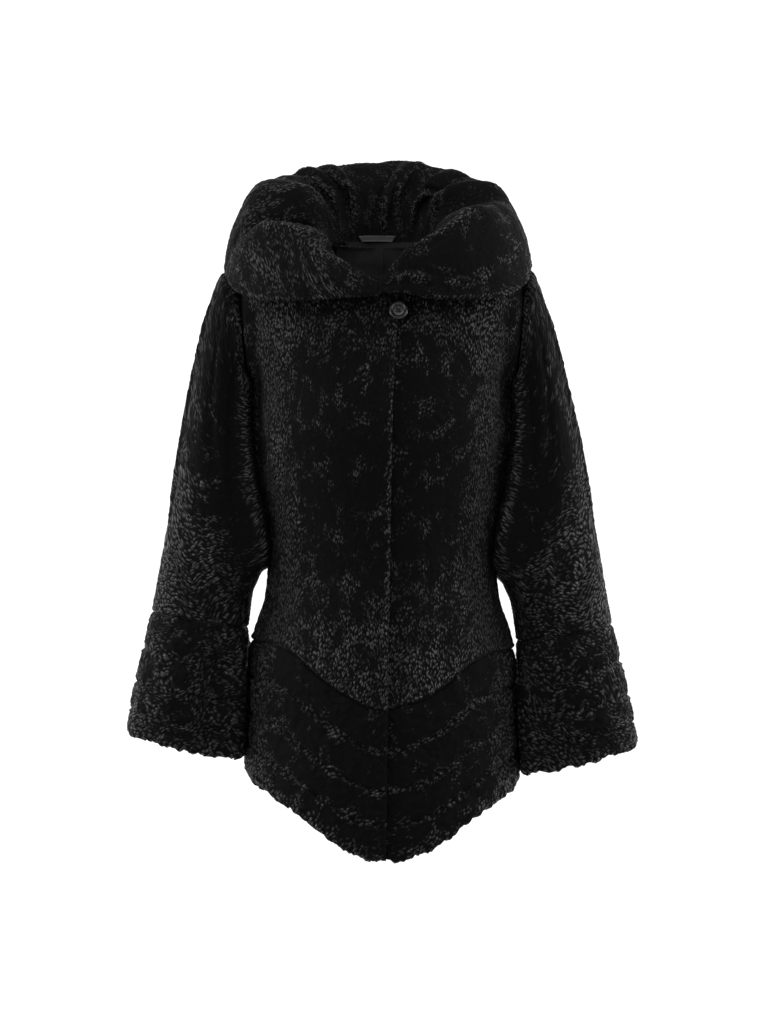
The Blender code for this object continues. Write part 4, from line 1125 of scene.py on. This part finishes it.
# The crests of the collar's folds; each path is its points as (turn, share)
COLLAR_RIDGES = table(
    "width height path",
    (0.0060, 0.0048, ((-96, 0.57), (-119, 0.538), (-135, 0.492), (-153, 0.47), (-174, 0.485))),
    (0.0042, 0.0044, ((-88.5, 0.53), (-89, 0.41), (-81, 0.348), (-76, 0.24), (-66, 0.09))),
    (0.0038, 0.0040, ((-80, 0.49), (-62, 0.46), (-54, 0.341), (-50, 0.212), (-52, 0.068))),
    (0.0038, 0.0042, ((-43, 0.47), (-38.5, 0.318), (-33, 0.25), (-34, 0.121), (-36, 0.053))),
    (0.0045, 0.0022, ((-8.8, 0.20), (-14, 0.145), (-20, 0.09))),
    (0.0038, 0.0042, ((16, 0.34), (4.5, 0.235), (2.2, 0.114), (6.9, 0.061))),
    (0.0036, 0.0034, ((26.4, 0.455), (21, 0.318), (17.1, 0.197), (21, 0.076))),
    (0.0038, 0.0042, ((76, 0.40), (48.3, 0.265), (36.6, 0.152), (36.6, 0.07))),
    (0.0038, 0.0042, ((84.3, 0.52), (71, 0.379), (65.6, 0.318), (66.3, 0.174), (70, 0.07))),
    (0.0060, 0.0046, ((116, 0.54), (131, 0.52), (152, 0.5), (162, 0.492), (180, 0.515))),
    (0.0040, 0.0026, ((178.2, 0.70), (168.8, 0.758), (158.6, 0.803), (152, 0.83))),
    (0.0045, 0.0022, ((145, 0.89), (134, 0.855), (124, 0.82))),
    (0.0045, -0.0026, ((-99, 0.42), (-112, 0.40), (-126, 0.37), (-140, 0.28))),
)
SAMPLES = 14
# Where the collar's crest is raised or lowered
CREST_TRIMS = table(
    "turn reach rise",
    (-68, 15, 0.0105),
    (-37, 4.5, -0.0055),
    (21, 5, -0.0070),
    (50, 4.5, -0.0050),
    (69, 6, 0.0025),
)
TRIM_DEPTH, RIDGE_FADE_DEPTH = 0.035, 0.016
COLLAR_TOP_ROLL, COLLAR_EDGE_ROLL, COLLAR_END_ROLL = 0.002, 0.0048, 0.0012
TROUGH_DEPTH, TROUGH_PLACE, LAY_WIDTH = 0.55, 2.1, 1.6


def ridge_rise(points, turns, shares, ridge):
    """A soft ridge along a path on the collar, with a shallow trough on either side: its height, and how near
    it each point is."""
    steps = np.linspace(0, 1, SAMPLES * (len(ridge.path) - 1) + 1)
    keys = np.linspace(0, 1, len(ridge.path))
    at_turn = curve_through(keys, [turn for turn, _ in ridge.path])(steps)
    at_share = curve_through(keys, [share for _, share in ridge.path])(steps)
    rows = np.clip(np.round(at_share * (len(shares) - 1)), 0, len(shares) - 1).astype(int)
    spread = (at_turn - turns[0]) / (turns[-1] - turns[0])
    columns = np.clip(np.round(spread * (len(turns) - 1)), 0, len(turns) - 1).astype(int)
    nearest = np.full(points.shape[:2], 1.0)
    fade = np.zeros(points.shape[:2])
    for step, row, column in zip(steps, rows, columns):
        distance = np.linalg.norm(points - points[row, column], axis=-1)
        closer = distance < nearest
        nearest = np.where(closer, distance, nearest)
        fade = np.where(closer, np.sqrt(np.sin(pi * np.clip(step, 0.04, 0.96))), fade)
    across = nearest / ridge.width
    rise = hump(across, 0, 1) - TROUGH_DEPTH * hump(across, TROUGH_PLACE, 1)
    return ridge.height * fade * rise, fade * hump(across, 0, LAY_WIDTH)


around_length, up_length = lengths(face, 1), lengths(face, 0)
middle_around = around_length.mean(axis=0, keepdims=True) + 0 * around_length
p = middle_around + 0.35 * up_length + 0.010 * noise(middle_around / 0.04, up_length / 0.04, 700)
q = up_length + 0.010 * noise(middle_around / 0.05, up_length / 0.05, 701)
curl = fur_curls(p, q, COLLAR_CURLS.wave, COLLAR_CURLS.stretch, 720)
end_distance = np.minimum(around_length, around_length[:, -1:] - around_length)
drop = max_of((
    roll_off(up_length, COLLAR_TOP_ROLL),
    roll_off(up_length[-1:] - up_length, COLLAR_EDGE_ROLL),
    roll_off(end_distance, COLLAR_END_ROLL),
))
swell = 0.0016 * noise(middle_around / 0.035, up_length / 0.045, 702)
ridges = [ridge_rise(face, turns, shares, ridge) for ridge in COLLAR_RIDGES]
below_crest = face[..., 2].max(axis=0, keepdims=True) - face[..., 2]
trim = sum(trim.rise * hump(turns, trim.turn, trim.reach) for trim in CREST_TRIMS)
trim = trim[None, :] * hump(below_crest, 0, TRIM_DEPTH)
swell = swell + sum(height for height, _ in ridges) * (1 - 0.85 * hump(below_crest, 0, RIDGE_FADE_DEPTH))
turn_grid, share_grid = turns[None, :] + 0 * curl, shares[:, None] + 0 * curl
# lay makes the tufts taller and glossier near the ridges and edge, and also lightens the fur's colour there, a
# painted highlight
lay = 0.20 + 0.75 * max_of(near for _, near in ridges)
lay = lay + 0.22 * step_down(turn_grid, -80, 20) * step_up(turn_grid, -172, 20)
lay = lay - 0.12 * step_up(turn_grid, 110, 20)
lay = np.clip(lay + 0.6 * step_up(share_grid, 0.955, 0.03), 0, 1)
outer = face + normals * ((curl - CURL_MEAN) * COLLAR_CURLS.depth + swell - drop)[..., None]
outer[..., 2] += trim
behind[..., 2] += trim
collar = add_shell(
    "collar_fur", outer, behind[::COLLAR_FACTOR, ::COLLAR_FACTOR], COLLAR_FACTOR, np.stack([p, q], -1), curl,
    lay, (collar_fur, collar_fur),
)
register(collar, "collar")


# --- Neck lining, hanger loop and button ---

LINING_TOP_Z, LINING_BOTTOM_Z, LINING_HALF_WIDTH = -0.004, -0.130, 0.064
LINING_DEPTH, LINING_WALL = 0.0075, 0.0015
PLEAT_HALF_WIDTH, PLEAT_RISE = 0.012, 0.003

LINING_TUCK, LINING_FACTOR = 0.014, 4
z = np.linspace(LINING_TOP_Z, LINING_BOTTOM_Z, 121)[:, None]
x = np.linspace(-1, 1, 129)[None, :] * LINING_HALF_WIDTH
z, x = np.broadcast_arrays(z, x)
points = torso_point(back_angle_at(x, z), z)
normals = torso_normal(points)
pleat = step_up(x, -PLEAT_HALF_WIDTH, 0.009) * (1 - step_up(x, 0.001, 0.0035))
ripple = 0.0006 * noise(x / 0.02, z / 0.05, 811)
thinned = 1 - 0.8 * step_up(z, LINING_TOP_Z - 0.006, 0.006)
depth = LINING_DEPTH + (LINING_WALL + PLEAT_RISE * pleat + ripple) * thinned
raised = LINING_TUCK * step_up(z, LINING_TOP_Z - 0.016, 0.016)
hanging = points[:1, :, 1] + 0.22 * (LINING_TOP_Z - z)
off_the_back = -np.maximum(points[..., 1] - hanging, 0)
tucked = np.stack([0 * z, off_the_back, raised], axis=-1)
piece = add_shell(
    "neck_lining_satin", points - normals * depth[..., None] + tucked,
    (points - normals * LINING_DEPTH + tucked)[::LINING_FACTOR, ::LINING_FACTOR], LINING_FACTOR,
    np.stack([x, z], axis=-1), np.full(x.shape, 0.5), np.full(x.shape, 0.5), (lining, lining),
)
register(piece, "neck_lining")

LOOP_X, LOOP_Z, LOOP_WIDTH, LOOP_HEIGHT, LOOP_WALL = -0.007, 0.0045, 0.050, 0.008, 0.0015
LOOP_BOW, LOOP_GAP, LOOP_TAPER, LOOP_FACTOR = 0.0025, 0.0009, 0.84, 4
LOOP_STITCHED, LOOP_EDGE_ROLL = 0.0003, 0.0008
TAPE_DARK, TAPE_LIGHT, TAPE_MEAN = (0.020, 0.020, 0.022), (0.20, 0.20, 0.205), (0.16, 0.16, 0.17, 1)
WEAVE_SHARE, EDGE_LIGHTENING_SHARE = 0.35, 0.65
tape, tree, shader = new_material("tape", {"Roughness": 0.6})
weave, _ = wave_node(tree, "DIAGONAL", {"Scale": 420, "Distortion": 0.6})
add_bump(tree, shader, weave, 0.0003)
threads = math_node(tree, "MULTIPLY", weave, WEAVE_SHARE)
# The tape's colour is lighter towards its top and bottom edges
lighter_edges = math_node(tree, "MULTIPLY", point_value(tree, "lay"), EDGE_LIGHTENING_SHARE)
add_ramp(tree, shader, math_node(tree, "ADD", threads, lighter_edges), TAPE_DARK, TAPE_LIGHT)
tape.diffuse_color = TAPE_MEAN

loop_middle = degrees(atan2(LOOP_X, float(SEAM_REACH(0))))
half_turn = degrees(LOOP_WIDTH / 2 / float(SEAM_REACH(0)))
stand_shares = np.linspace(0, COLLAR_SHARES[1], 40)
stand = collar_base(np.array([loop_middle]), stand_shares)[:, 0, 2]
loop_shares = np.interp(np.linspace(LOOP_Z, LOOP_Z + LOOP_HEIGHT, 13), stand, stand_shares)
across, up = np.linspace(-1, 1, 97), np.linspace(-1, 1, 13)
loop_face = collar_face(loop_middle + across * half_turn, loop_shares)
loop_normals = grid_normals(loop_face, False)
narrowed = np.linspace(LOOP_TAPER, 1, 13)[:, None]
loop_face[..., 0] = LOOP_X + (loop_face[..., 0] - LOOP_X) * narrowed
stitched = LOOP_STITCHED * step_up(np.abs(across), 0.90, 0.03)
stand_off = (LOOP_GAP + LOOP_BOW * (1 - across**2) - stitched)[None, :, None]
edge_roll = (LOOP_EDGE_ROLL * np.abs(up) ** 3)[:, None, None]
flow = np.stack(np.broadcast_arrays(across[None, :] * LOOP_WIDTH / 2, loop_shares[:, None]), axis=-1)
piece = add_shell(
    "hanger_loop_tape", loop_face + loop_normals * (stand_off + LOOP_WALL + edge_roll),
    (loop_face + loop_normals * stand_off)[::LOOP_FACTOR, ::LOOP_FACTOR], LOOP_FACTOR, flow, 0 * flow[..., 0],
    0 * flow[..., 0] + np.abs(up)[:, None] ** 4, (tape, tape),
)
put_on_frame(piece, "hanger_loop")

BUTTON_X, BUTTON_Z = 0.0213, -0.1035
BUTTON_PROFILE = table(
    "radius height",
    (0.0, 0.0),
    (0.0080, 0.0),
    (0.0105, 0.0004),
    (0.0119, 0.0010),
    (0.0124, 0.0016),
    (0.0125, 0.0022),
    (0.0124, 0.0027),
    (0.0121, 0.0033),
    (0.0116, 0.0038),
    (0.0109, 0.0042),
    (0.0101, 0.0043),
    (0.0095, 0.0040),
    (0.0088, 0.0034),
    (0.0081, 0.0027),
    (0.0074, 0.0023),
    (0.0064, 0.0022),
    (0.0045, 0.0022),
    (0.0, 0.0023),
)
BUTTON_SIDES, HOLE_SIDES, HOLE_SPACING, HOLE_RADIUS, HOLE_DEPTH = 128, 32, 0.0038, 0.00115, 0.02
HOLE_REACH = HOLE_SPACING / 2**0.5


def evaluated_mesh(item):
    return bpy.data.meshes.new_from_object(item.evaluated_get(bpy.context.evaluated_depsgraph_get()))


def add_button():
    solid = bmesh.new()
    spine = [solid.verts.new((point.radius, 0, point.height)) for point in BUTTON_PROFILE]
    edges = [solid.edges.new(pair) for pair in zip(spine, spine[1:])]
    bmesh.ops.spin(
        solid, geom=spine + edges, cent=(0, 0, 0), axis=(0, 0, 1), angle=2 * pi, steps=BUTTON_SIDES,
        use_duplicate=False,
    )
    bmesh.ops.remove_doubles(solid, verts=solid.verts, dist=1e-6)
    bmesh.ops.recalc_face_normals(solid, faces=solid.faces)
    mesh = bpy.data.meshes.new("button_body")
    solid.to_mesh(mesh)
    solid.free()
    body = bpy.data.objects.new("button_body", mesh)
    bpy.context.scene.collection.objects.link(body)
    cutters = []
    for i in range(4):
        turn = radians(45 + 90 * i)
        hole = bmesh.new()
        bmesh.ops.create_cone(
            hole, cap_ends=True, segments=HOLE_SIDES, depth=HOLE_DEPTH, radius1=HOLE_RADIUS,
            radius2=HOLE_RADIUS,
            matrix=Matrix.Translation((HOLE_REACH * np.cos(turn), HOLE_REACH * np.sin(turn), 0)),
        )
        mesh = bpy.data.meshes.new(f"hole_{i}")
        hole.to_mesh(mesh)
        hole.free()
        cutter = bpy.data.objects.new(f"hole_{i}", mesh)
        bpy.context.scene.collection.objects.link(cutter)
        cutters.append(cutter)
        drilled = body.modifiers.new(f"hole {i}", "BOOLEAN")
        drilled.operation, drilled.object = "DIFFERENCE", cutter
    bpy.context.view_layer.update()
    drilled_mesh = evaluated_mesh(body)
    for item in (body, *cutters):
        bpy.data.objects.remove(item)
    return drilled_mesh


gloss_plastic, tree, shader = new_material("gloss_plastic", {
    "Base Color": (0.009, 0.009, 0.0095, 1), "Roughness": 0.3, "Coat Weight": 0.4, "Coat Roughness": 0.08,
})
cloudy = add_node(tree, "ShaderNodeTexNoise", {"Scale": 900})
add_bump(tree, shader, cloudy.outputs["Fac"], 0.00001)
thread_black = new_material("thread", {"Base Color": (0.012, 0.012, 0.012, 1), "Roughness": 0.7})[0]

button_point = torso_point(angle_at(BUTTON_X, BUTTON_Z), np.array(BUTTON_Z))
button_normal = Vector(torso_normal(button_point))
button_turn = Vector((0, 0, 1)).rotation_difference(button_normal).to_matrix().to_4x4()
button_place = Matrix.Translation(Vector(button_point) + button_normal * SEAM_GAP) @ button_turn
button = add_object("button_body", add_button(), (gloss_plastic,))
button.data.set_sharp_from_angle(angle=radians(50))
button.matrix_world = button_place
put_on_frame(button, "button")

# Thread through the button's holes: two stitches that cross, each of three strands
STRAND_RADIUS, STRAND_SPACING = 0.00022, 0.0003
# A strand's path up out of one hole and down into the next: (share of the way, height over the button's back)
STRAND_PATH = (
    (-1, 0.0009), (-1, 0.0024), (-0.8, 0.0029), (0, 0.0032), (0.8, 0.0029), (1, 0.0024), (1, 0.0009),
)
stitches = bpy.data.curves.new("button_thread", "CURVE")
stitches.dimensions = "3D"
stitches.bevel_depth = STRAND_RADIUS
stitches.bevel_resolution = 2
reach = HOLE_SPACING / 2
for start in (45, 135):
    along = Vector((np.cos(radians(start)), np.sin(radians(start)), 0))
    aside = Vector((-along.y, along.x, 0))
    for strand in (-1, 0, 1):
        spline = stitches.splines.new("POLY")
        path = [
            along * reach * step + aside * STRAND_SPACING * strand + Vector((0, 0, height))
            for step, height in STRAND_PATH
        ]
        spline.points.add(len(path) - 1)
        for spot, point in zip(spline.points, path):
            spot.co = (*point, 1)
thread_curve = bpy.data.objects.new("thread_curve", stitches)
bpy.context.scene.collection.objects.link(thread_curve)
bpy.context.view_layer.update()
thread_mesh = evaluated_mesh(thread_curve)
bpy.data.objects.remove(thread_curve)
thread = add_object("button_thread", thread_mesh, (thread_black,))
thread.matrix_world = button_place
put_on_frame(thread, "button")


# --- Floor, light and camera ---


GREY_FLOOR = {"Base Color": (0.6, 0.6, 0.6, 1), "Roughness": 0.9, "Specular IOR Level": 0.2}
WHITE_BACKDROP = {
    "Base Color": (0.2, 0.2, 0.2, 1), "Roughness": 0.9, "Specular IOR Level": 0.0,
    "Emission Color": (1, 1, 1, 1), "Emission Strength": 1.05,
}
FLOOR_Z, SWEEP_START, SWEEP_RADIUS, SWEEP_TOP = -1.42, 2.6, 1.6, 5.0
FLOOR_START, GLOW_START, SWEEP_HALF_WIDTH, SWEEP_STEPS = -6.0, 0.9, 8, 16


def add_sweep(name, profile, material):
    """A sheet behind or under the jacket, with a profile of (y, z) points."""
    mesh = bpy.data.meshes.new(name)
    vertices = [(x, y, z) for x in (-SWEEP_HALF_WIDTH, SWEEP_HALF_WIDTH) for y, z in profile]
    count = len(profile)
    mesh.from_pydata(vertices, [], [(i, i + 1, count + i + 1, count + i) for i in range(count - 1)])
    add_object(name, mesh, (material,))


profile = [(GLOW_START, FLOOR_Z), (SWEEP_START, FLOOR_Z)]
for step in range(1, SWEEP_STEPS + 1):
    turn = pi / 2 * step / SWEEP_STEPS
    profile.append((SWEEP_START + SWEEP_RADIUS * np.sin(turn), FLOOR_Z + SWEEP_RADIUS * (1 - np.cos(turn))))
profile.append((SWEEP_START + SWEEP_RADIUS, SWEEP_TOP))
add_sweep("studio_backdrop", profile, new_material("backdrop_white", WHITE_BACKDROP)[0])
floor_profile = [(FLOOR_START, FLOOR_Z), (GLOW_START, FLOOR_Z)]
add_sweep("studio_floor", floor_profile, new_material("studio_floor", GREY_FLOOR)[0])


LIGHT_AIM = Vector((0, 0, -0.35))


def add_softbox(name, azimuth, distance, height, size, radiance):
    """A rectangular light aimed at the jacket, at an azimuth from the front, positive to the right."""
    light = bpy.data.lights.new(name, "AREA")
    light.shape = "RECTANGLE"
    light.size, light.size_y = size
    light.energy = radiance * pi * size[0] * size[1]
    lamp = bpy.data.objects.new(name, light)
    turn = radians(azimuth)
    lamp.location = (distance * np.sin(turn), -distance * np.cos(turn), height)
    lamp.rotation_euler = (LIGHT_AIM - lamp.location).to_track_quat("-Z", "Y").to_euler()
    bpy.context.scene.collection.objects.link(lamp)


add_softbox("left_softbox", -86, 2.0, 0.25, (0.8, 2.0), 4.8)
add_softbox("right_softbox", 86, 2.0, 0.25, (0.8, 2.0), 4.5)
add_softbox("left_fill", -52, 2.4, 0.1, (0.5, 2.0), 3.0)
add_softbox("right_fill", 52, 2.4, 0.1, (0.5, 2.0), 2.7)
add_softbox("top_softbox", 0, 0.7, 2.0, (1.4, 0.7), 3.6)
add_softbox("front_softbox", -10, 3.0, 2.7, (2.6, 1.2), 2.2)

ROOM_GREY, SEEN_WHITE = (0.22, 0.22, 0.22, 1), (1, 1, 1, 1)
MIX_FACTOR, MIX_A, MIX_B, MIX_RESULT = 0, 6, 7, 2  # a Mix node's sockets for colours
scene = bpy.context.scene
world = bpy.data.worlds.new("studio")
world.use_nodes = True
nodes, links = world.node_tree.nodes, world.node_tree.links
background = nodes["Background"]
rays = nodes.new("ShaderNodeLightPath")
shade = nodes.new("ShaderNodeMix")
shade.data_type = "RGBA"
shade.inputs[MIX_A].default_value = ROOM_GREY
shade.inputs[MIX_B].default_value = SEEN_WHITE
links.new(rays.outputs["Is Camera Ray"], shade.inputs[MIX_FACTOR])
links.new(shade.outputs[MIX_RESULT], background.inputs["Color"])
scene.world = world
scene.view_settings.view_transform = "Standard"
scene.render.resolution_x, scene.render.resolution_y = 768, 1024

CAMERA_X, CAMERA_DISTANCE, CAMERA_Z = 0.0027, 3.0, -0.364
PICTURE_HEIGHT, SENSOR_HEIGHT = 1.37216, 36
lens = bpy.data.cameras.new("camera")
lens.sensor_fit = "VERTICAL"
lens.sensor_height = SENSOR_HEIGHT
lens.lens = SENSOR_HEIGHT * CAMERA_DISTANCE / PICTURE_HEIGHT
camera = bpy.data.objects.new("camera", lens)
camera.location = (CAMERA_X, -CAMERA_DISTANCE, CAMERA_Z)
camera.rotation_euler = (pi / 2, 0, 0)
scene.collection.objects.link(camera)
scene.camera = camera
